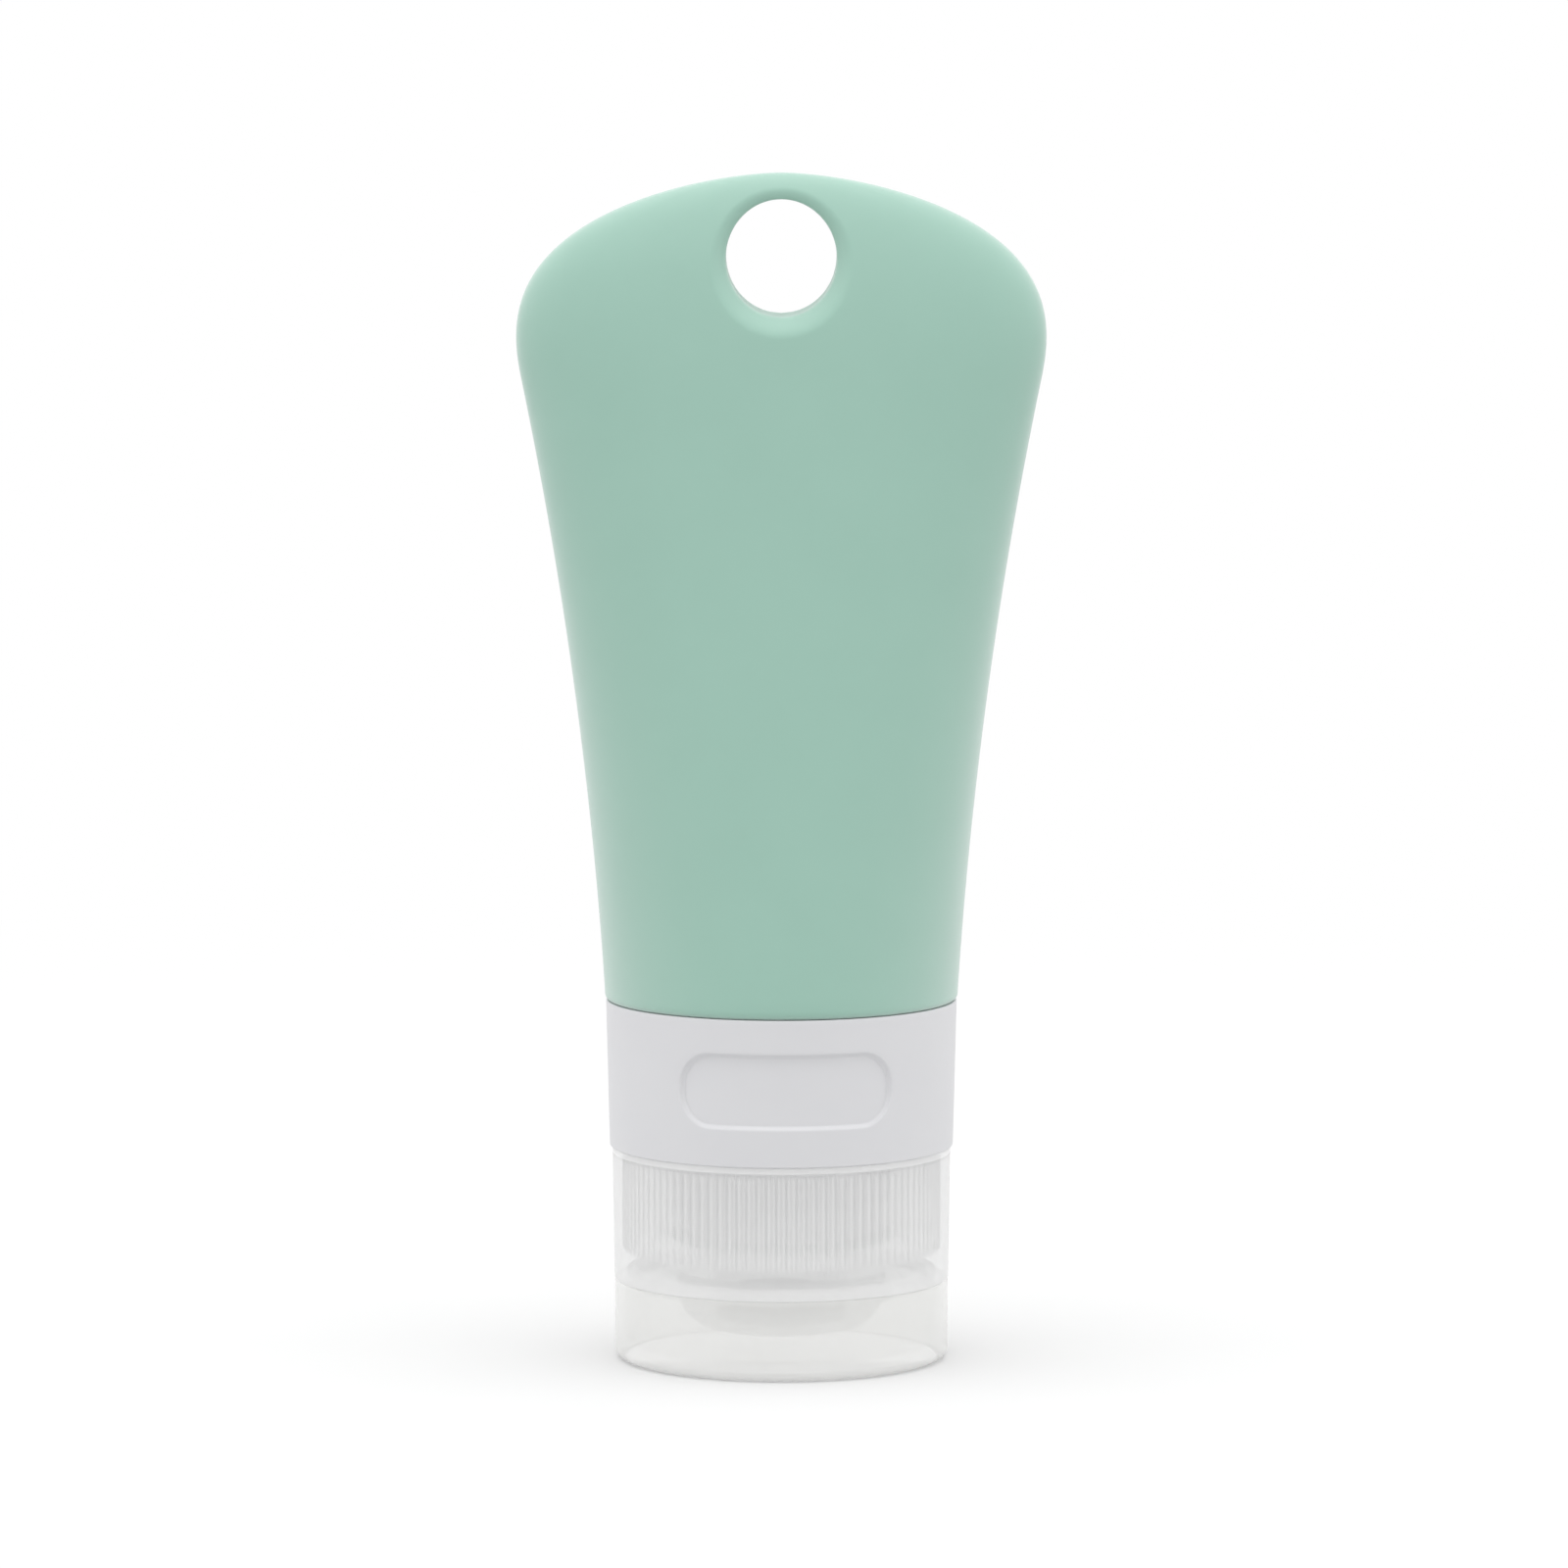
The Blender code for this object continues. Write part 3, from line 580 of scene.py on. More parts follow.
@dataclass
class SqueezeBody:
    """The hollow silicone body, a round neck that flattens into a fan-shaped tail with a hole."""

    radius: float = 20.88
    shoulder_z: float = 42.78
    flare_z: float = 43.8
    widest_z: float = 121.0
    arch_z: float = 116.0
    arch_height: float = 24.3
    tail_flare: float = 10.7
    shoulder_edge: float = 0.75
    tail_half: float = 8.0
    flare_start: float = 0.45
    arch_power: float = 2.4
    arch_root: float = 0.6
    ridge_power: float = 3.0
    tail_power: float = 2.6
    wall: float = 2.0
    bore: float = 15.2
    neck: float = 18.2
    neck_end_z: float = 27.6
    cavity_top_z: float = 119.6
    cavity_end: float = 12.0
    cavity_power: float = 2.5
    floor_fillet: float = 1.4
    hole_z: float = 130.4
    hole_half_width: float = 6.5
    hole_half_height: float = 6.825
    mouth: float = 2.0
    mouth_sag: float = 0.5
    mouth_lead: float = 0.45
    mouth_depth: float = 0.65
    mouth_edge: float = 0.15
    mouth_end: float = 0.93
    tangent_step: float = 0.05
    patch_power: float = 1.2
    patch_low_z: float = 119.5
    patch_high_z: float = 139.4
    patch_half: int = 28
    patch_rings: int = 9
    mouth_rings: int = 12
    straight_rows: int = 64
    arch_rows: int = 60
    cavity_rows: int = 30
    cavity_end_rows: int = 20
    columns: int = 208

    def rise(self, z: Array) -> Array:
        """Share of the way from the round end to the widest height."""
        return np.maximum(0, z - self.flare_z) / (self.widest_z - self.flare_z)

    def arch(self, z: Array) -> Array:
        """Share of the arch's height, 0 below it."""
        return np.clip((z - self.arch_z) / self.arch_height, 0, 1)

    def half_width(self, z: Array) -> Array:
        """A flare of the first and second power of the rise, times an arch that closes at the top.

        Args:
            z: Heights.

        Returns:
            Half the section's width at each height.
        """
        rise = self.rise(z)
        flare = self.flare_start * rise + (1 - self.flare_start) * rise**2
        closing = (1 - self.arch(z) ** self.arch_power) ** self.arch_root
        return (self.radius + self.tail_flare * flare) * closing

    def half_thickness(self, z: Array) -> Array:
        """A straight wedge, times the root of one minus the arch's third power."""
        wedge = self.radius + (self.tail_half - self.radius) * self.rise(z)
        return wedge * np.sqrt(1 - self.arch(z) ** self.ridge_power)

    def power(self, z: Array) -> Array:
        """Exponent of the section, from a circle to a fuller oval."""
        return 2 + (self.tail_power - 2) * np.minimum(1, self.rise(z))

    def face_y(self, x: Array, z: Array) -> Array:
        """How far the face stands from the middle plane: the superellipse solved for y."""
        across = np.minimum(1, np.abs(x) / self.half_width(z))
        return self.half_thickness(z) * (1 - across ** self.power(z)) ** (1 / self.power(z))

    def rings(self, width: Array, thickness: Array, power: Array, z: Array) -> Array:
        """Makes rings that are superellipses.

        For the power p, x is the width times the cosine to the power 2 / p, and y is the thickness
        times the sine to that power.

        Args:
            width: Half width of each ring.
            thickness: Half thickness of each ring.
            power: Power of each ring.
            z: Height of each ring.

        Returns:
            A grid of points, one row for each ring.
        """
        angle = np.arange(self.columns) * (math.tau / self.columns)
        across = np.cos(angle)[None, :]
        along = np.sin(angle)[None, :]
        share = 2 / power[:, None]
        x = width[:, None] * np.sign(across) * np.abs(across) ** share
        y = thickness[:, None] * np.sign(along) * np.abs(along) ** share
        return np.stack([x, y, np.broadcast_to(z[:, None], x.shape)], axis=-1)

    def outer_levels(self) -> Array:
        """Spaces the outer skin's rows, closer together as the arch closes.

        Returns:
            The rows' heights.
        """
        straight = np.linspace(self.flare_z, self.arch_z, self.straight_rows)
        turn = np.linspace(0, math.pi / 2, self.arch_rows + 1)[1:]
        return np.concatenate([straight, self.arch_z + self.arch_height * np.sin(turn)])

    def cavity(self) -> Array:
        """Makes the inner skin from its closed end to its floor: the outer section less the wall.

        The end closes by the root of one less a power of the height's share of it.

        Returns:
            A grid of points, one row for each ring.
        """
        floor_z = self.shoulder_z + self.wall
        end_z = self.cavity_top_z - self.cavity_end
        turn = np.linspace(0, math.pi / 2, self.cavity_end_rows)
        sides = np.linspace(end_z, floor_z + self.floor_fillet, self.cavity_rows)[1:]
        z = np.concatenate([end_z + self.cavity_end * np.cos(turn), sides])
        share = np.clip((z - end_z) / self.cavity_end, 0, 1)
        end = np.sqrt(np.maximum(0, 1 - share**self.cavity_power))
        width = (self.half_width(z) - self.wall) * end
        thickness = (self.half_thickness(z) - self.wall) * end
        return self.rings(width, thickness, self.power(z), z)

    def neck_rows(self) -> Array:
        """Makes the round rows from the cavity's floor round the neck to the shoulder's edge.

        Returns:
            A grid of points, one row for each ring.
        """
        shoulder = self.shoulder_z
        floor_z = shoulder + self.wall
        corners = [
            (self.radius - self.wall, self.widest_z, 0),
            (self.radius - self.wall, floor_z, self.floor_fillet),
            (self.bore, floor_z, 0.4),
            (self.bore, self.neck_end_z, 0.3),
            (self.neck, self.neck_end_z, 0.3),
            (self.neck, shoulder, 0.2),
            (self.radius, shoulder, self.shoulder_edge),
            (self.radius, self.widest_z, 0),
        ]
        profile = np.vstack([rounded(corners, 6, slice(1, -1)), [[self.radius, self.flare_z]]])
        return spun(profile, self.columns)

    def block(self, levels: Array) -> tuple[slice, Array]:
        """Finds the block of the outer skin that the hole's patch stands in for, on the front.

        Args:
            levels: Heights of the skin's rows.

        Returns:
            The block's rows and its columns.
        """
        low, high = np.searchsorted(levels, [self.patch_low_z, self.patch_high_z])
        front = 3 * self.columns // 4
        return slice(low, high), np.arange(front - self.patch_half, front + self.patch_half + 1)

    def patch(self, outer: Array, rows: slice, columns: Array, side: int) -> Array:
        """A face's patch round the hole, from the block's border over the flared mouth into the tunnel.

        Rings run straight from the border to an oval round the hole, in front view, and lie on the
        face. The mouth is wider below the hole than above it. A parabola carries the rings down it: it
        leaves along the face's tangent and meets the tunnel's wall in a small round edge.

        Args:
            outer: The outer skin's grid.
            rows: The block's rows.
            columns: The block's columns on the front.
            side: -1 for the front and 1 for the back.

        Returns:
            A grid whose columns run round the hole.
        """
        border = around(outer[rows, columns])[:, [0, 2]]
        centre = np.array([0.0, self.hole_z])
        away = unit(border - centre)
        half = np.array([self.hole_half_width, self.hole_half_height])
        reach = self.mouth - self.mouth_sag * away[:, 1:]
        wall = centre + half * away
        edge = wall + reach * away
        share = (1 - np.linspace(0, 1, self.patch_rings)[:, None, None]) ** self.patch_power
        face = edge + (border - edge) * share
        face_y = self.face_y(face[..., 0], face[..., 1])
        inside = edge - self.tangent_step * away
        slope = (face_y[-1] - self.face_y(inside[:, 0], inside[:, 1])) / self.tangent_step
        lead_y = face_y[-1] - slope * self.mouth_lead * reach[:, 0]
        deep_y = face_y[-1] - (slope + self.mouth_depth) * reach[:, 0]
        t = np.linspace(0, self.mouth_end, self.mouth_rings)[1:, None]
        weights = ((1 - t) ** 2, 2 * t * (1 - t), t**2)
        mouth_y = weights[0] * face_y[-1] + weights[1] * lead_y + weights[2] * deep_y
        slide = (self.mouth_lead * weights[1] + weights[2])[..., None]
        mouth = edge + (wall - edge) * slide
        mouth_y = np.concatenate([mouth_y, deep_y[None] - [[self.mouth_edge]]])
        mouth = np.concatenate([mouth, wall[None]])
        plan = np.concatenate([face, mouth])
        y = side * np.concatenate([face_y, mouth_y])
        return np.stack([plan[..., 0], y, plan[..., 1]], axis=-1)

    def build(self) -> None:
        """Makes the body as one closed skin and dresses it."""
        levels = self.outer_levels()
        outer = self.rings(self.half_width(levels), self.half_thickness(levels), self.power(levels), levels)
        rows, front = self.block(levels)
        back = front - self.columns // 2
        keep = np.ones((len(levels) - 1, self.columns), bool)
        for columns in (front, back):
            keep[rows.start : rows.stop - 1, columns[:-1]] = False
        shell = Shell()
        shell.grid(self.cavity(), rows_close=False)
        shell.grid(self.neck_rows(), rows_close=False)
        shell.grid(outer, rows_close=False, keep=keep)
        near = self.patch(outer, rows, front, -1)
        far = self.patch(outer, rows, front, 1)
        share = np.linspace(0, 1, self.patch_rings)[:, None, None]
        shell.grid(near, rows_close=False)
        shell.grid(far, rows_close=False)
        shell.grid(near[-1] + (far[-1] - near[-1]) * share, rows_close=False)
        piece = shell.build("silicone_body")
        dress(piece, MINT_SILICONE, Body.BOTTLE, "squeeze_body")


@dataclass
class NeckInsert:
    """The rigid neck: a threaded tube, the flange and hub that carry the collar, and a barbed sleeve."""

    bore: float = 10.5
    tube: float = 12.0
    thread: float = 13.0
    thread_start: float = 1.4
    thread_turns: float = 2.25
    end_z: float = 15.41
    flange_z: float = 25.9
    flange_top_z: float = 27.3
    hub_inner: float = 15.8
    hub: float = 17.0
    hub_z: float = 23.85
    bead: float = 17.6
    bead_low_z: float = 24.1
    bead_high_z: float = 24.35
    flange: float = 19.2
    sleeve_inner: float = 13.0
    sleeve: float = 14.5
    sleeve_length: float = 12.7
    barb: float = 0.4
    barb_pitch: float = 2.4
    barbs: int = 4
    columns: int = 160

    def profile(self) -> Array:
        """Makes the section from the neck's end round the hub, the flange and the barbs.

        Returns:
            Radius and height of each point.
        """
        corners = [
            (self.bore, self.end_z, 0.3),
            (self.tube, self.end_z, 0.35),
            (self.tube, self.flange_z, 0.4),
            (self.hub_inner, self.flange_z, 0.3),
            (self.hub_inner, self.hub_z, 0.15),
            (self.hub, self.hub_z, 0.1),
            (self.bead, self.bead_low_z, 0.1),
            (self.bead, self.bead_high_z, 0.1),
            (self.hub, self.bead_high_z, 0.05),
            (self.hub, self.flange_z, 0.15),
            (self.flange, self.flange_z, 0.2),
            (self.flange, self.flange_top_z, 0.2),
            (self.sleeve, self.flange_top_z, 0.2),
        ]
        for count in range(1, self.barbs + 1):
            barb_z = self.flange_top_z + self.barb_pitch * count
            corners += [(self.sleeve + self.barb, barb_z, 0.08), (self.sleeve, barb_z + self.barb, 0.05)]
        top_z = self.flange_top_z + self.sleeve_length
        corners += [
            (self.sleeve, top_z, 0.2),
            (self.sleeve_inner, top_z, 0.2),
            (self.sleeve_inner, self.flange_top_z, 0.4),
            (self.bore, self.flange_z, 0.4),
        ]
        return rounded(corners)

    def build(self) -> None:
        """Makes the insert with its thread and dresses it."""
        piece = turned("neck_tube", self.profile(), self.columns)
        start_z = self.end_z + self.thread_start
        Thread(self.tube, self.thread, start_z, self.thread_turns).add_to(piece)
        crisp(piece)
        dress(piece, SATIN_WHITE, Body.BOTTLE, "neck_insert")


@dataclass
class Ring:
    """A plain turned ring, whose four edges are rounded from the lower inner one round the outside."""

    inner: float
    outer: float
    low_z: float
    high_z: float
    edges: tuple[float, ...]
    columns: int

    def ring(self, name: str) -> Object:
        """Makes the ring.

        Args:
            name: The object's name.

        Returns:
            The new object, not yet dressed.
        """
        radii = (self.inner, self.outer, self.outer, self.inner)
        heights = (self.low_z, self.low_z, self.high_z, self.high_z)
        corners = list(zip(radii, heights, self.edges, strict=True))
        piece = turned(name, rounded(corners), self.columns)
        crisp(piece)
        return piece


@dataclass
class LabelRing(Ring):
    """The plain ring behind the collar's window."""

    inner: float = 18.5
    outer: float = 20.1
    low_z: float = 27.6
    high_z: float = 42.74
    edges: tuple[float, ...] = (0.1, 0.15, 0.15, 0.1)
    columns: int = 256

    def build(self) -> None:
        """Makes the ring and dresses it."""
        piece = self.ring("label_band")
        dress(piece, SATIN_WHITE, Body.BOTTLE, "label_ring")


@dataclass
class Collar:
    """The turning collar, with a pill-shaped window in its front and a spigot inside the cap's skirt."""

    low_z: float = 25.4
    high_z: float = 42.76
    low_radius: float = 20.33
    high_radius: float = 20.75
    inner: float = 20.11
    lip: float = 17.3
    lip_low_z: float = 24.5
    lip_z: float = 25.8
    spigot_inner: float = 17.9
    spigot: float = 18.7
    spigot_z: float = 24.15
    taper: tuple[float, float] = (0.08, 0.12)
    high_edge: float = 0.2
    window_z: float = 34.28
    window_turn_deg: float = 1.8
    window_core: tuple[float, float] = (9.3, 0.3)
    window_corner: float = 3.6
    window_slope: float = 0.65
    window_wall: float = 0.01
    window_rings: int = 9
    slope_rings: int = 12
    rows: int = 39
    rows_low: float = 2.6
    rows_high: float = 0.7
    columns: int = 288
    block_half: int = 42

    def outside(self, z: Array) -> Array:
        """The outer radius, a straight cone."""
        share = (z - self.low_z) / (self.high_z - self.low_z)
        return self.low_radius + (self.high_radius - self.low_radius) * share

    def at(self, along: Array, z: Array, radius: Array) -> Array:
        """Points on the wall: along is the length round it, from the window's middle."""
        angle = along / self.high_radius + math.radians(self.window_turn_deg) - math.pi / 2
        return polar(radius, angle, z)

    def build(self) -> None:
        """Makes the collar as one closed wall and dresses it.

        The window's rings run from a block of the wall's grid to a pill, which is every point at one
        distance from a small core rectangle. There the square of t times three less two t, a soft step,
        takes them down to the band behind the window, and they return along the wall's inner side.
        """
        level = np.linspace(self.low_z + self.rows_low, self.high_z - self.rows_high, self.rows)
        wall = np.stack([self.outside(level), level], axis=1)
        corners = [
            (self.inner, self.lip_z, 0.3),
            (self.lip, self.lip_z, 0.15),
            (self.lip, self.lip_low_z, 0.15),
            (self.spigot_inner, self.lip_low_z, 0.1),
            (self.spigot_inner, self.spigot_z, 0.1),
            (self.spigot, self.spigot_z, 0.12),
            (self.spigot, self.low_z, 0.05),
            (self.low_radius - self.taper[0], self.low_z, 0.1),
            (self.low_radius, self.low_z + self.taper[1], 0.2),
            (self.outside(level[0]), level[0], 0),
        ]
        lower = rounded(corners, 8, slice(None, -1))
        corners = [
            (self.outside(level[-1]), level[-1], 0),
            (self.high_radius, self.high_z, self.high_edge),
            (self.inner, self.high_z, 0.15),
            (self.inner, level[-1], 0),
        ]
        upper = rounded(corners, 6, slice(1, -1))
        inside = np.stack([np.full_like(level, self.inner), level], axis=1)[::-1]
        profile = np.vstack([lower, wall, upper, inside])
        first = len(lower)
        last = first + len(level) - 1
        inner_first = last + 1 + len(upper)
        column = np.arange(self.columns)
        along = (column - self.columns // 2) * (math.tau * self.high_radius / self.columns)
        height = np.broadcast_to(profile[:, 1, None], (len(profile), self.columns))
        grid = self.at(along[None, :], height, profile[:, 0, None])
        keep = np.ones((len(profile), self.columns), bool)
        block = slice(self.columns // 2 - self.block_half, self.columns // 2 + self.block_half)
        keep[first:last, block] = False
        keep[inner_first : inner_first + len(level) - 1, block] = False
        shell = Shell()
        shell.grid(grid, rows_close=True, keep=keep)
        shell.grid(self.window(along[block.start : block.stop + 1], level), rows_close=False)
        piece = shell.build("collar_shell")
        crisp(piece)
        dress(piece, SATIN_WHITE, Body.COLLAR, "collar")

    def window(self, along: Array, level: Array) -> Array:
        """Makes the rings that line the window, from the outer block's border to the inner one's.

        Args:
            along: Place of the block's columns, as a length round the wall.
            level: Height of the block's rows.

        Returns:
            A grid whose columns run round the window.
        """
        across, up = np.meshgrid(along, level)
        plan = np.stack([across, up - self.window_z], axis=-1)
        loop = around(plan)
        core = np.clip(loop, -np.array(self.window_core), np.array(self.window_core))
        away = unit(loop - core)
        edge = core + (self.window_corner + self.window_slope) * away
        share = np.linspace(0, 1, self.window_rings)[:, None, None]
        t = np.linspace(0, 1, self.slope_rings + 1)[1:, None]
        mouth = core + (self.window_corner + self.window_slope * (1 - t))[..., None] * away
        plan = np.concatenate([loop + (edge - loop) * share, mouth])
        height = plan[..., 1] + self.window_z
        fall = np.concatenate([np.zeros((self.window_rings, 1)), t**2 * (3 - 2 * t)])
        depth = fall * (self.outside(height) - self.inner - self.window_wall)
        outer = self.at(plan[..., 0], height, self.outside(height) - depth)
        inner = self.at(plan[::-1, :, 0], height[::-1], np.full_like(height, self.inner))
        return np.concatenate([outer, inner[[0, -1]]])


@dataclass
class CapGasket(Ring):
    """The silicone gasket between the neck's end and the cap's seat."""

    inner: float = 10.6
    outer: float = 13.1
    low_z: float = 14.21
    high_z: float = 15.11
    edges: tuple[float, ...] = (0.2, 0.2, 0.2, 0.2)
    columns: int = 128

    def build(self) -> None:
        """Makes the gasket and dresses it."""
        piece = self.ring("gasket_ring")
        # The gasket's darkened green is painted shade
        dress(piece, SHADED_GASKET_SILICONE, Body.CAP_SEAL, "cap_gasket")


@dataclass
class Hinge:
    """The axis along X that the lid turns on, with its knuckle, ears and pins."""

    y: float = 19.7
    z: float = 9.56
    radius: float = 1.1
    half: float = 3.0
    gap: float = 0.3
    ear: float = 3.0
    pin: float = 0.5
    pin_reach: float = 2.2
    pin_room: float = 0.15
    side_room: float = 0.2
    knuckle_edge: float = 0.15
    edge: float = 0.12
    columns: int = 40

    def bar(self, radius: float, start_x: float, end_x: float, edge: float = 0.0) -> Object:
        """Makes a round bar on the axis.

        Its profile is turned about the axis: y follows the cosine and z the sine.

        Args:
            radius: The bar's radius.
            start_x: Where it starts.
            end_x: Where it ends.
            edge: Radius by which its ends are rounded over.

        Returns:
            The new object.
        """
        profile = rounded([(0, start_x, 0), (radius, start_x, edge), (radius, end_x, edge), (0, end_x, 0)])
        cosine, sine, along = np.moveaxis(spun(profile, self.columns), -1, 0)
        shell = Shell()
        shell.grid(np.stack([along, cosine + self.y, sine + self.z], axis=-1), rows_close=False)
        return shell.build("bar")


@dataclass
class FlipLid:
    """The cup that the bottle stands on, with a stub for the orifice and the hinge's middle knuckle."""

    height: float = 9.56
    radius: float = 19.75
    wall: float = 1.2
    plate: float = 1.9
    corner: float = 1.3
    fillet: float = 0.9
    stub: float = 4.2
    stub_top: float = 3.8
    stub_z: float = 4.5
    skin_cloud: float = 0.52
    inner_cloud: float = 0.18
    columns: int = 256
    hinge: Hinge = field(default_factory=Hinge)

    def build(self) -> None:
        """Makes the lid and dresses it."""
        inner = self.radius - self.wall
        corners = [
            (0, 0, 0),
            (self.radius, 0, self.corner),
            (self.radius, self.height, 0.08),
            (inner, self.height, 0.1),
            (inner, self.plate, self.fillet),
            (self.stub, self.plate, 0.4),
            (self.stub_top, self.stub_z, 0.35),
            (0, self.stub_z, 0),
        ]
        piece = turned("lid_cup", rounded(corners, 8), self.columns, closed=False)
        hinge = self.hinge
        room = hinge.radius + hinge.gap
        far = hinge.half + hinge.ear + 2 * hinge.gap
        combine(piece, hinge.bar(room, -far, -hinge.half), Join.CUT)
        combine(piece, hinge.bar(room, hinge.half, far), Join.CUT)
        combine(piece, hinge.bar(hinge.radius, -hinge.half, hinge.half, hinge.knuckle_edge), Join.ADD)
        reach = hinge.half + hinge.pin_reach
        combine(piece, hinge.bar(hinge.pin, -reach, reach, hinge.edge), Join.ADD)
        crisp(piece)
        outside = places(piece)[0] > self.radius - 0.5 * self.wall
        # The lid's clearer inner faces take the pale painted shade colour
        cloud(piece, np.where(outside, self.skin_cloud, self.inner_cloud))
        dress(piece, CLEAR_SATIN, Body.LID, "flip_lid")


@dataclass
class Cap:
    """The frosted screw cap: ribbed skirt, deck, threaded socket, nozzle and hinge ears."""

    low_z: float = 9.58
    high_z: float = 25.39
    low_radius: float = 19.8
    high_radius: float = 20.02
    wall: float = 1.15
    rim: float = 0.05
    rim_inner: float = 0.2
    deck_low_z: float = 10.71
    deck_z: float = 12.91
    deck_fillet: float = 0.35
    seat_z: float = 13.91
    neck_bore: float = 10.5
    socket: float = 13.4
    socket_outer: float = 15.2
    socket_z: float = 23.95
    socket_rim: float = 0.8
    thread_depth: float = 1.0
    thread_z: float = 18.06
    thread_turns: float = 1.5
    nozzle: float = 12.3
    nozzle_tip: float = 7.2
    nozzle_z: float = 3.5
    dome_height: float = 4.6
    dome_rows: int = 20
    bore: float = 7.7
    bore_low_z: float = 4.7
    bore_high_z: float = 9.5
    orifice: float = 5.4
    ring_inner: float = 17.35
    ring_outer: float = 18.25
    ring_z: float = 8.81
    ribs: int = 100
    rib_height: float = 0.45
    rib_high_z: float = 24.0
    rib_top: float = 0.3
    rib_steepness: float = 2.2
    rib_row: float = 2.5
    skin_cloud: float = 0.54
    # Painted shade and highlight on the ribs: clear grey troughs and whiter, more opaque flanks stand in
    # for the dark and bright lines that refraction draws
    trough_shade_cloud: float = 0.15
    crest_cloud: float = 0.36
    flank_highlight_cloud: float = 0.92
    # Painted shade: the clear socket walls and funnel take the grey painted shade colour
    socket_cloud: float = 0.1
    # Painted highlight: a cloudier, whiter band above the fine line and on the socket's rim
    rim_highlight_cloud: float = 0.72
    deck_cloud: float = 0.5
    deck_skin: float = 0.3
    funnel_cloud: float = 0.15
    # Painted shade: the skin is clearer on the fine line, so the shade behind it shows as a dark line
    line_z: float = 24.45
    line_half: float = 0.12
    line_fade: float = 0.1
    line_shade_cloud: float = 0.5
    rib_margin: float = 0.05
    rim_margin: float = 0.02
    funnel_margin: float = 0.1
    columns: int = 800
    hinge: Hinge = field(default_factory=Hinge)

    def levels(self) -> list[Corner]:
        """Finds the points up the skirt's outside where its cloudiness changes.

        Returns:
            Radius and height of each point, and 0 as its corner's radius.
        """
        half = np.array([self.line_half, self.line_half + self.line_fade])
        z = np.concatenate([self.line_z - half[::-1], self.line_z + half])
        share = (z - self.low_z) / (self.high_z - self.low_z)
        radius = self.low_radius + (self.high_radius - self.low_radius) * share
        return [(float(r), float(h), 0.0) for r, h in zip(radius, z, strict=True)]

    def profile(self) -> Array:
        """Makes the section, from the skirt's lower rim round the outside, the socket and the nozzle.

        Returns:
            Radius and height of each point.
        """
        skirt = self.high_radius - self.wall
        corners = [
            (self.low_radius - self.wall, self.deck_low_z, 0.3),
            (self.low_radius - self.wall, self.low_z, 0.1),
            (self.low_radius, self.low_z, 0.06),
            *self.levels(),
            (self.high_radius, self.high_z, self.rim),
            (skirt, self.high_z, self.rim_inner),
            (skirt, self.deck_z, self.deck_fillet),
            (self.socket_outer, self.deck_z, 0.3),
            (self.socket_outer, self.socket_z, self.socket_rim),
            (self.socket, self.socket_z, 0.25),
            (self.socket, self.seat_z, 0.2),
            (self.neck_bore, self.seat_z, 0.2),
            (self.bore, self.bore_high_z, 0.5),
            (self.bore, self.bore_low_z, 0.15),
            (self.orifice, self.bore_low_z, 0.2),
            (self.orifice, self.nozzle_z, 0.25),
            (self.nozzle_tip, self.nozzle_z, 0),
        ]
        start = rounded(corners, 3, slice(None, -1))
        turn = np.linspace(0, math.pi / 2, self.dome_rows)[:, None]
        tip = np.array([self.nozzle_tip, self.nozzle_z + self.dome_height])
        size = np.array([self.nozzle - self.nozzle_tip, -self.dome_height])
        dome = tip + size * np.hstack([np.sin(turn), np.cos(turn)])
        corners = [
            (self.nozzle, self.nozzle_z + self.dome_height, 0),
            (self.nozzle, self.deck_low_z, 0.5),
            (self.ring_inner, self.deck_low_z, 0.3),
            (self.ring_inner, self.ring_z, 0.15),
            (self.ring_outer, self.ring_z, 0.15),
            (self.ring_outer, self.deck_low_z, 0.1),
        ]
        end = rounded(corners, 3, slice(1, None))
        return np.vstack([start, dome, end])

    def ribbed(self, profile: Array) -> Array:
        """Spins the profile, with upright ribs on the skirt's inner side.

        There the radius is less by the rib height times a rounded wave of the angle, which is the cosine
        put through a steep hyperbolic tangent. The wave fades in over the ribs' top.

        Args:
            profile: Radius and height of each point of the section.

        Returns:
            A grid of points, one row for each point of the section.
        """
        skirt = self.high_radius - self.wall
        ends = (self.high_z - self.rim_inner, self.deck_z + self.deck_fillet)
        stops = (ends[0], self.rib_high_z, self.rib_high_z - self.rib_top, ends[1])
        upright = denser(np.array([[skirt, z] for z in stops]), self.rib_row)
        at = int(np.argmin(np.hypot(*(profile - upright[0]).T)))
        until = int(np.argmin(np.hypot(*(profile - upright[-1]).T)))
        whole = np.vstack([profile[:at], upright, profile[until + 1 :]])
        points = spun(whole, self.columns)
        angle = np.arange(self.columns) * (math.tau / self.columns)
        steepness = self.rib_steepness
        wave = 0.5 + 0.5 * np.tanh(steepness * np.cos(self.ribs * angle)) / math.tanh(steepness)
        height = whole[:, 1]
        inside = np.abs(whole[:, 0] - skirt) < TOUCH
        inside &= (height > self.deck_z) & (height < self.high_z)
        fade = np.clip((self.rib_high_z - height) / self.rib_top, 0, 1) * inside
        shrink = self.rib_height * fade[:, None] * wave
        radius = np.hypot(points[..., 0], points[..., 1])
        points[..., :2] *= ((radius - shrink) / radius)[..., None]
        return points

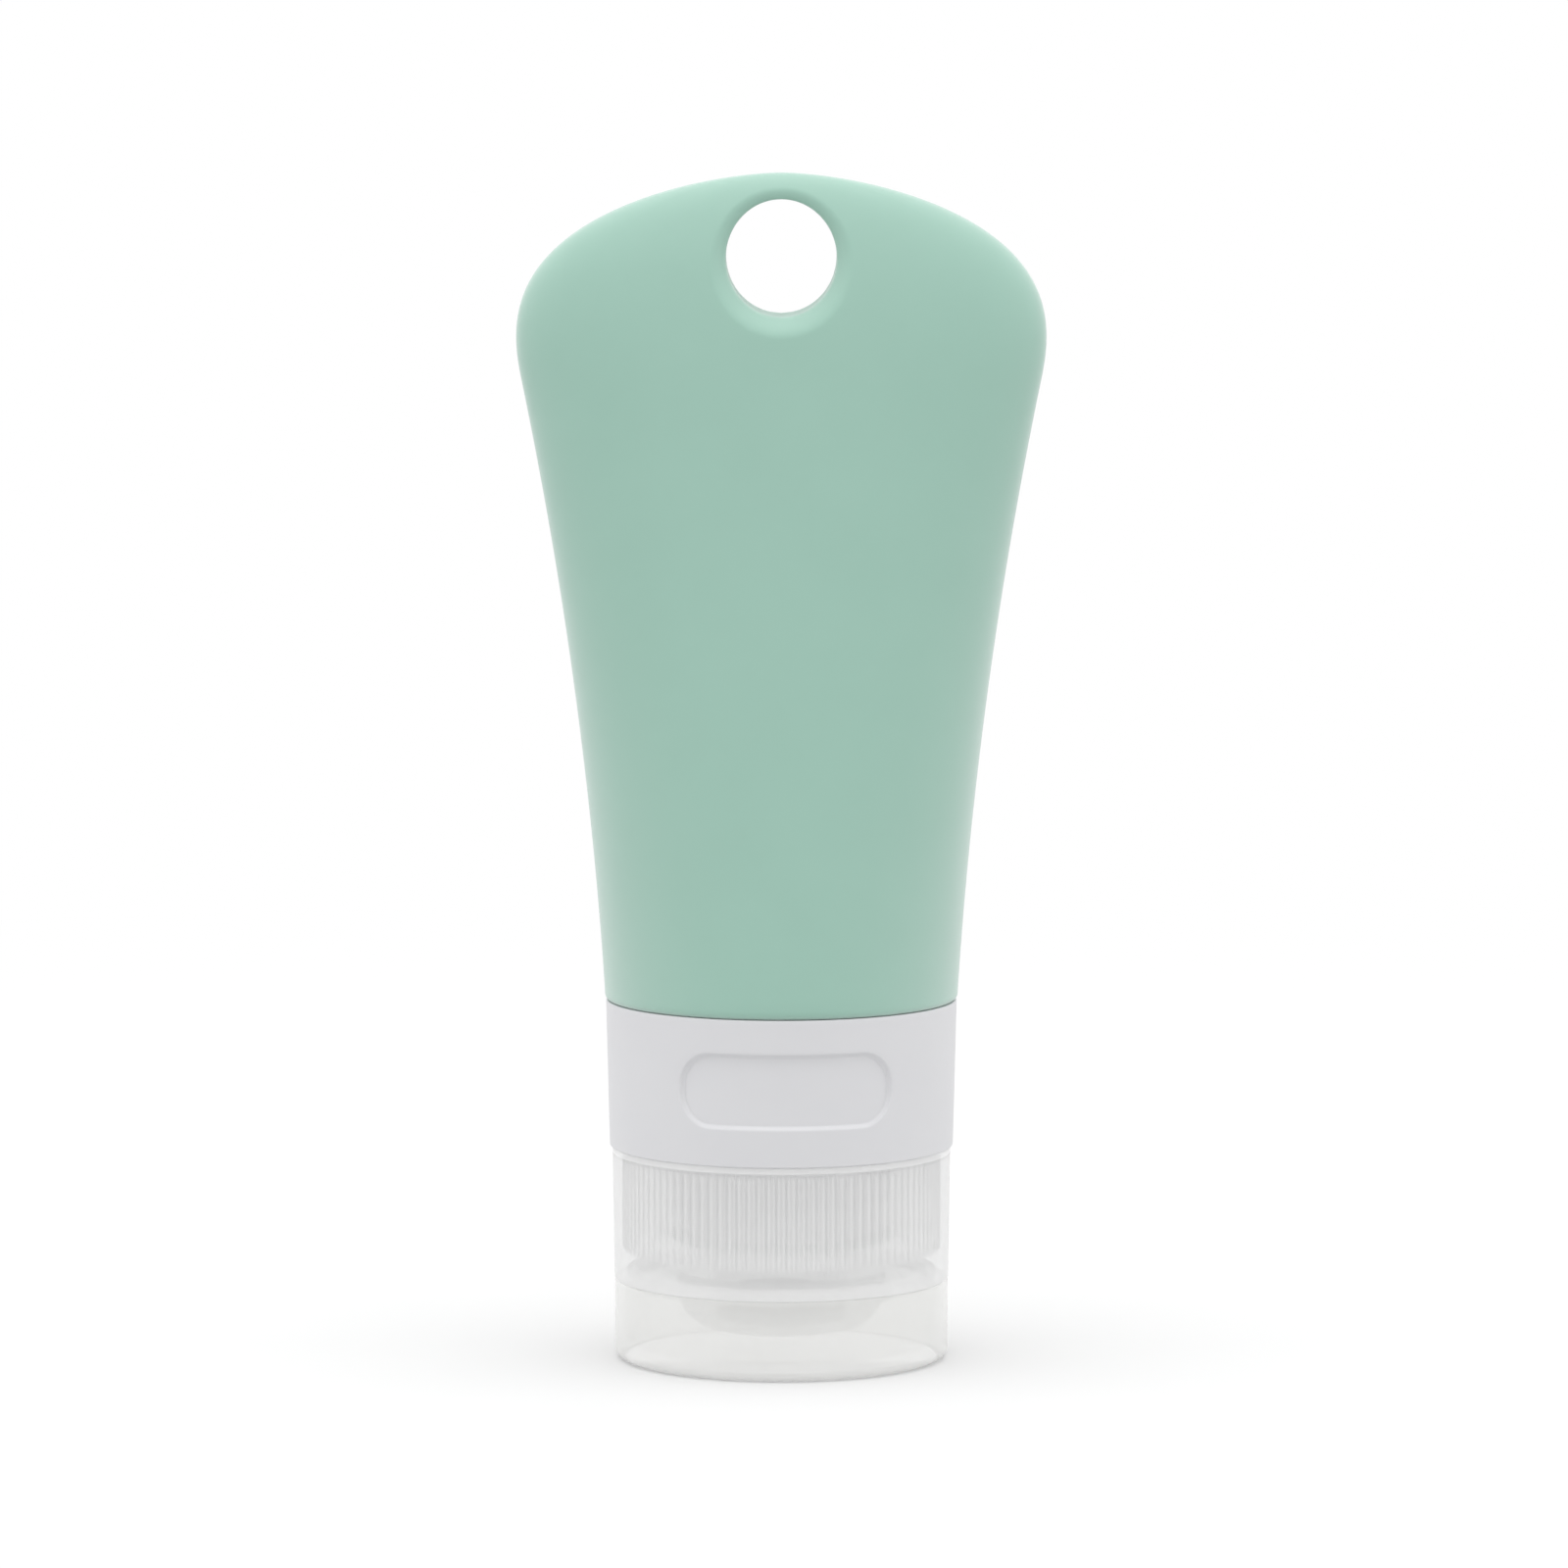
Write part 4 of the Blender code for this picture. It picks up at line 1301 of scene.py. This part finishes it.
    def build(self) -> None:
        """Makes the cap and dresses it."""
        shell = Shell()
        shell.grid(self.ribbed(self.profile()), rows_close=True)
        piece = shell.build("frosted_cap")
        crest = self.socket - self.thread_depth
        Thread(self.socket, crest, self.thread_z, self.thread_turns).add_to(piece)
        hinge = self.hinge
        start = hinge.half + hinge.gap
        far = start + hinge.side_room
        combine(piece, hinge.bar(hinge.radius + hinge.gap, -far, far), Join.CUT)
        for side in (-1, 1):
            ends = sorted((side * start, side * (start + hinge.ear)))
            combine(piece, hinge.bar(hinge.radius, *ends, hinge.edge), Join.ADD)
            ends = sorted((side * hinge.half, side * (hinge.half + hinge.pin_reach + hinge.gap)))
            combine(piece, hinge.bar(hinge.pin + hinge.pin_room, *ends), Join.CUT)
        crisp(piece)
        cloud(piece, self.cloudiness(*places(piece)))
        dress(piece, FROSTED_CLEAR, Body.CAP, "cap_body")

    def cloudiness(self, radius: Array, height: Array) -> Array:
        """How much each point hides: the frosted outside most, and each rib most on its two flanks, whose
        whiter flanks are painted highlights.

        The outside is clearer on the fine line, which lets shade behind it show as painted shade, and above
        it as cloudy as the socket's rim, both painted highlights; clear places take the finish's painted
        shade colour.

        Args:
            radius: Distance from the Z axis of each point.
            height: Height of each point.

        Returns:
            Shares from 0 to 1.
        """
        skirt = self.high_radius - self.wall
        outside = radius > self.low_radius - 0.5 * self.wall
        raised = height > self.deck_z + self.deck_skin
        ribbed = ~outside & (radius > skirt - self.rib_height - self.rib_margin) & raised
        crest = np.clip((skirt - radius) / self.rib_height, 0, 1)
        flank = 4 * crest * (1 - crest)
        ribs = self.trough_shade_cloud + (self.crest_cloud - self.trough_shade_cloud) * crest
        ribs = ribs + (self.flank_highlight_cloud - ribs) * flank
        rim = radius < self.socket_outer - self.rim_margin
        rim &= height > self.socket_z - self.socket_rim
        socket = np.where(rim, self.rim_highlight_cloud, self.socket_cloud)
        funnel = radius < self.neck_bore + self.funnel_margin
        funnel &= height > self.bore_low_z + self.funnel_margin
        low = np.where(funnel, self.funnel_cloud, self.deck_cloud)
        inner = np.where(raised, socket, low)
        # Painted highlight above the fine line, and painted shade on it
        skin = np.where(height > self.line_z, self.rim_highlight_cloud, self.skin_cloud)
        on_line = np.abs(height - self.line_z) < self.line_half + 0.5 * self.line_fade
        skin = np.where(on_line, self.line_shade_cloud, skin)
        return np.where(outside, skin, np.where(ribbed, ribs, inner))


@dataclass
class SlitValve:
    """The flanged silicone disc, domed towards the bottle and cut by a cross."""

    outer: float = 7.4
    neck: float = 5.0
    low_z: float = 5.0
    flange: float = 1.0
    rise: float = 0.8
    skin: float = 0.6
    slit: float = 5.6
    slit_width: float = 0.3
    dome_rows: int = 16
    columns: int = 96

    def build(self) -> None:
        """Makes the valve and dresses it."""
        turn = np.linspace(math.pi / 2, 0, self.dome_rows)
        dome = np.stack([self.neck * np.cos(turn), self.low_z + self.rise * np.sin(turn)], axis=1)
        dome[0, 0] = 0
        corners = [
            (self.neck, self.low_z, 0),
            (self.outer, self.low_z, 0.15),
            (self.outer, self.low_z + self.flange, 0.15),
            (self.neck, self.low_z + self.flange, 0.1),
        ]
        rim = rounded(corners, kept=slice(1, None))
        top = dome[::-1] + np.array([0, self.skin])
        piece = turned("valve_disc", np.vstack([dome, rim, top]), self.columns, closed=False)
        depth = 2 * (self.rise + self.skin)
        for size in ((self.slit, self.slit_width), (self.slit_width, self.slit)):
            combine(piece, self.blade(*size, depth), Join.CUT)
        crisp(piece)
        dress(piece, MILKY_SILICONE, Body.CAP, "slit_valve")

    def blade(self, x: float, y: float, depth: float) -> Object:
        """Makes a block as large as one slit, which is its plan at two heights.

        Args:
            x: Its size along X.
            y: Its size along Y.
            depth: Its height.

        Returns:
            The new object.
        """
        plan = np.array([[-x, -y], [x, -y], [x, y], [-x, y]]) / 2
        middle = self.low_z + self.rise
        rows = [np.column_stack([plan, np.full(4, middle + half)]) for half in (-depth / 2, depth / 2)]
        return capped("slit", np.stack(rows))


@dataclass
class ValveRetainer(Ring):
    """The ring that holds the valve in the nozzle."""

    inner: float = 5.2
    outer: float = 7.4
    low_z: float = 6.3
    high_z: float = 8.1
    edges: tuple[float, ...] = (0.15, 0.15, 0.25, 0.25)
    columns: int = 96
    haze: float = 0.3

    def build(self) -> None:
        """Makes the ring and dresses it."""
        piece = self.ring("retainer_ring")
        # At this haze its colour is partly the grey painted shade colour
        cloud(piece, np.full(len(piece.data.vertices), self.haze))
        dress(piece, FROSTED_CLEAR, Body.CAP, "valve_retainer")


# Studio


@dataclass
class View:
    """The photograph's camera: a long lens a metre away, a little above the bottle."""

    across_mm: float = 0.31
    distance_mm: float = 1000.0
    height_mm: float = 172.0
    pitch: float = 0.10339
    lens_mm: float = 195.5
    sensor_mm: float = 36.0
    near: float = 0.01
    far: float = 100.0

    def build(self) -> None:
        """Makes the camera and sets it as the scene's."""
        data = bpy.data.cameras.new("camera")
        data.lens = self.lens_mm
        data.sensor_width = self.sensor_mm
        data.clip_start = self.near
        data.clip_end = self.far
        camera = placed("camera", data)
        camera.location = (self.across_mm * MM, -self.distance_mm * MM, self.height_mm * MM)
        camera.rotation_euler = (math.pi / 2 - self.pitch, 0.0, 0.0)
        bpy.context.scene.camera = camera


@dataclass(frozen=True)
class Lamp:
    """A soft square lamp that looks at the bottle's middle."""

    name: str
    place: tuple[float, float, float]
    size: float
    power: float
    aim_z: float = 0.08

    def build(self) -> None:
        """Makes the lamp, turned so that its face looks at its aim."""
        data = bpy.data.lights.new(self.name, "AREA")
        data.shape = "SQUARE"
        data.size = self.size
        data.energy = self.power
        lamp = placed(self.name, data)
        lamp.location = self.place
        away = lamp.location.copy()
        away.z -= self.aim_z
        lamp.rotation_mode = "QUATERNION"
        lamp.rotation_quaternion = away.to_track_quat("Z", "Y")


@dataclass
class Studio:
    """A white floor and backdrop under plain soft light."""

    floor_half: float = 30.0
    near: float = 0.12
    far: float = 0.45
    fill: float = 0.19
    card: str = "#C8C8C8"
    world_strength: float = 1.0
    clear_walls: int = 24
    lamps: tuple[Lamp, ...] = (
        Lamp("left_softbox", (-1.4, -0.2, 0.9), 1.2, 2.8),
        Lamp("right_softbox", (1.4, -0.2, 0.9), 1.2, 2.8),
        Lamp("top_softbox", (0.0, -0.1, 1.65), 1.2, 12.5),
    )

    def floor(self) -> None:
        """Makes the floor, a flat sheet at height 0."""
        half = self.floor_half
        corners = [(-half, -half, 0), (half, -half, 0), (half, half, 0), (-half, half, 0)]
        mesh = bpy.data.meshes.new("floor")
        mesh.from_pydata(corners, [], [(0, 1, 2, 3)])
        floor = placed("floor", mesh)
        floor.data.materials.append(self.floor_material())

    def seen(self, tree: Tree) -> Socket:
        """Tells what the camera sees from stray light.

        Args:
            tree: The node tree that needs it.

        Returns:
            1 for what the camera sees, also in gloss and through clear plastic, or else 0.
        """
        ray = add(tree, "ShaderNodeLightPath", {}).outputs
        direct = maths(tree, "MAXIMUM", ray["Is Camera Ray"], ray["Is Glossy Ray"])
        return maths(tree, "MAXIMUM", direct, ray["Is Transmission Ray"])

    def floor_material(self) -> bpy.types.Material:
        """Makes white card, which shows the bottle's shadow nearby and runs out to plain white.

        Returns:
            The material.
        """
        made = bpy.data.materials.new("white_card")
        tree = emptied(made)
        seen = self.seen(tree)
        place = add(tree, "ShaderNodeTexCoord", {}).outputs["Object"]
        distance = add(tree, "ShaderNodeVectorMath", {0: place}, operation="LENGTH").outputs["Value"]
        ends = {"Value": distance, "From Min": self.near, "From Max": self.far}
        far = add(tree, "ShaderNodeMapRange", ends, interpolation_type="SMOOTHSTEP").outputs["Result"]
        card = add(tree, "ShaderNodeBsdfDiffuse", {"Color": linear(self.card)})
        glow = add(tree, "ShaderNodeEmission", {"Strength": maths(tree, "MULTIPLY", seen, self.fill)})
        near_look = add(tree, "ShaderNodeAddShader", {0: card.outputs[0], 1: glow.outputs[0]})
        white = add(tree, "ShaderNodeEmission", {"Strength": 1.0})
        share = maths(tree, "MULTIPLY", seen, far)
        ways = {0: share, 1: near_look.outputs[0], 2: white.outputs[0]}
        look = add(tree, "ShaderNodeMixShader", ways)
        add(tree, "ShaderNodeOutputMaterial", {"Surface": look.outputs[0]})
        return made

    def world(self) -> None:
        """Soft light from all round, and plain white where the camera sees past the floor."""
        world = bpy.data.worlds.new("studio")
        bpy.context.scene.world = world
        tree = emptied(world)
        light = add(tree, "ShaderNodeBackground", {"Color": WHITE, "Strength": self.world_strength})
        white = add(tree, "ShaderNodeBackground", {"Color": WHITE, "Strength": 1.0})
        ways = {0: self.seen(tree), 1: light.outputs[0], 2: white.outputs[0]}
        look = add(tree, "ShaderNodeMixShader", ways)
        add(tree, "ShaderNodeOutputWorld", {"Surface": look.outputs[0]})

    def build(self) -> None:
        """Makes the floor, the world's light and the lamps, and lets light pass many clear walls."""
        bpy.context.scene.cycles.transparent_max_bounces = self.clear_walls
        self.floor()
        self.world()
        for lamp in self.lamps:
            lamp.build()


def main() -> None:
    """Builds the camera, the bottle's pieces and the studio."""
    logging.basicConfig(level=logging.INFO, format="%(message)s")
    bpy.context.scene.view_settings.view_transform = "Standard"
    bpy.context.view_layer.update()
    View().build()
    for part in (
        SqueezeBody(),
        NeckInsert(),
        LabelRing(),
        Collar(),
        CapGasket(),
        Cap(),
        SlitValve(),
        ValveRetainer(),
        FlipLid(),
        Studio(),
    ):
        part.build()
        LOG.info("%s built", type(part).__name__)


if __name__ == "__main__":
    main()
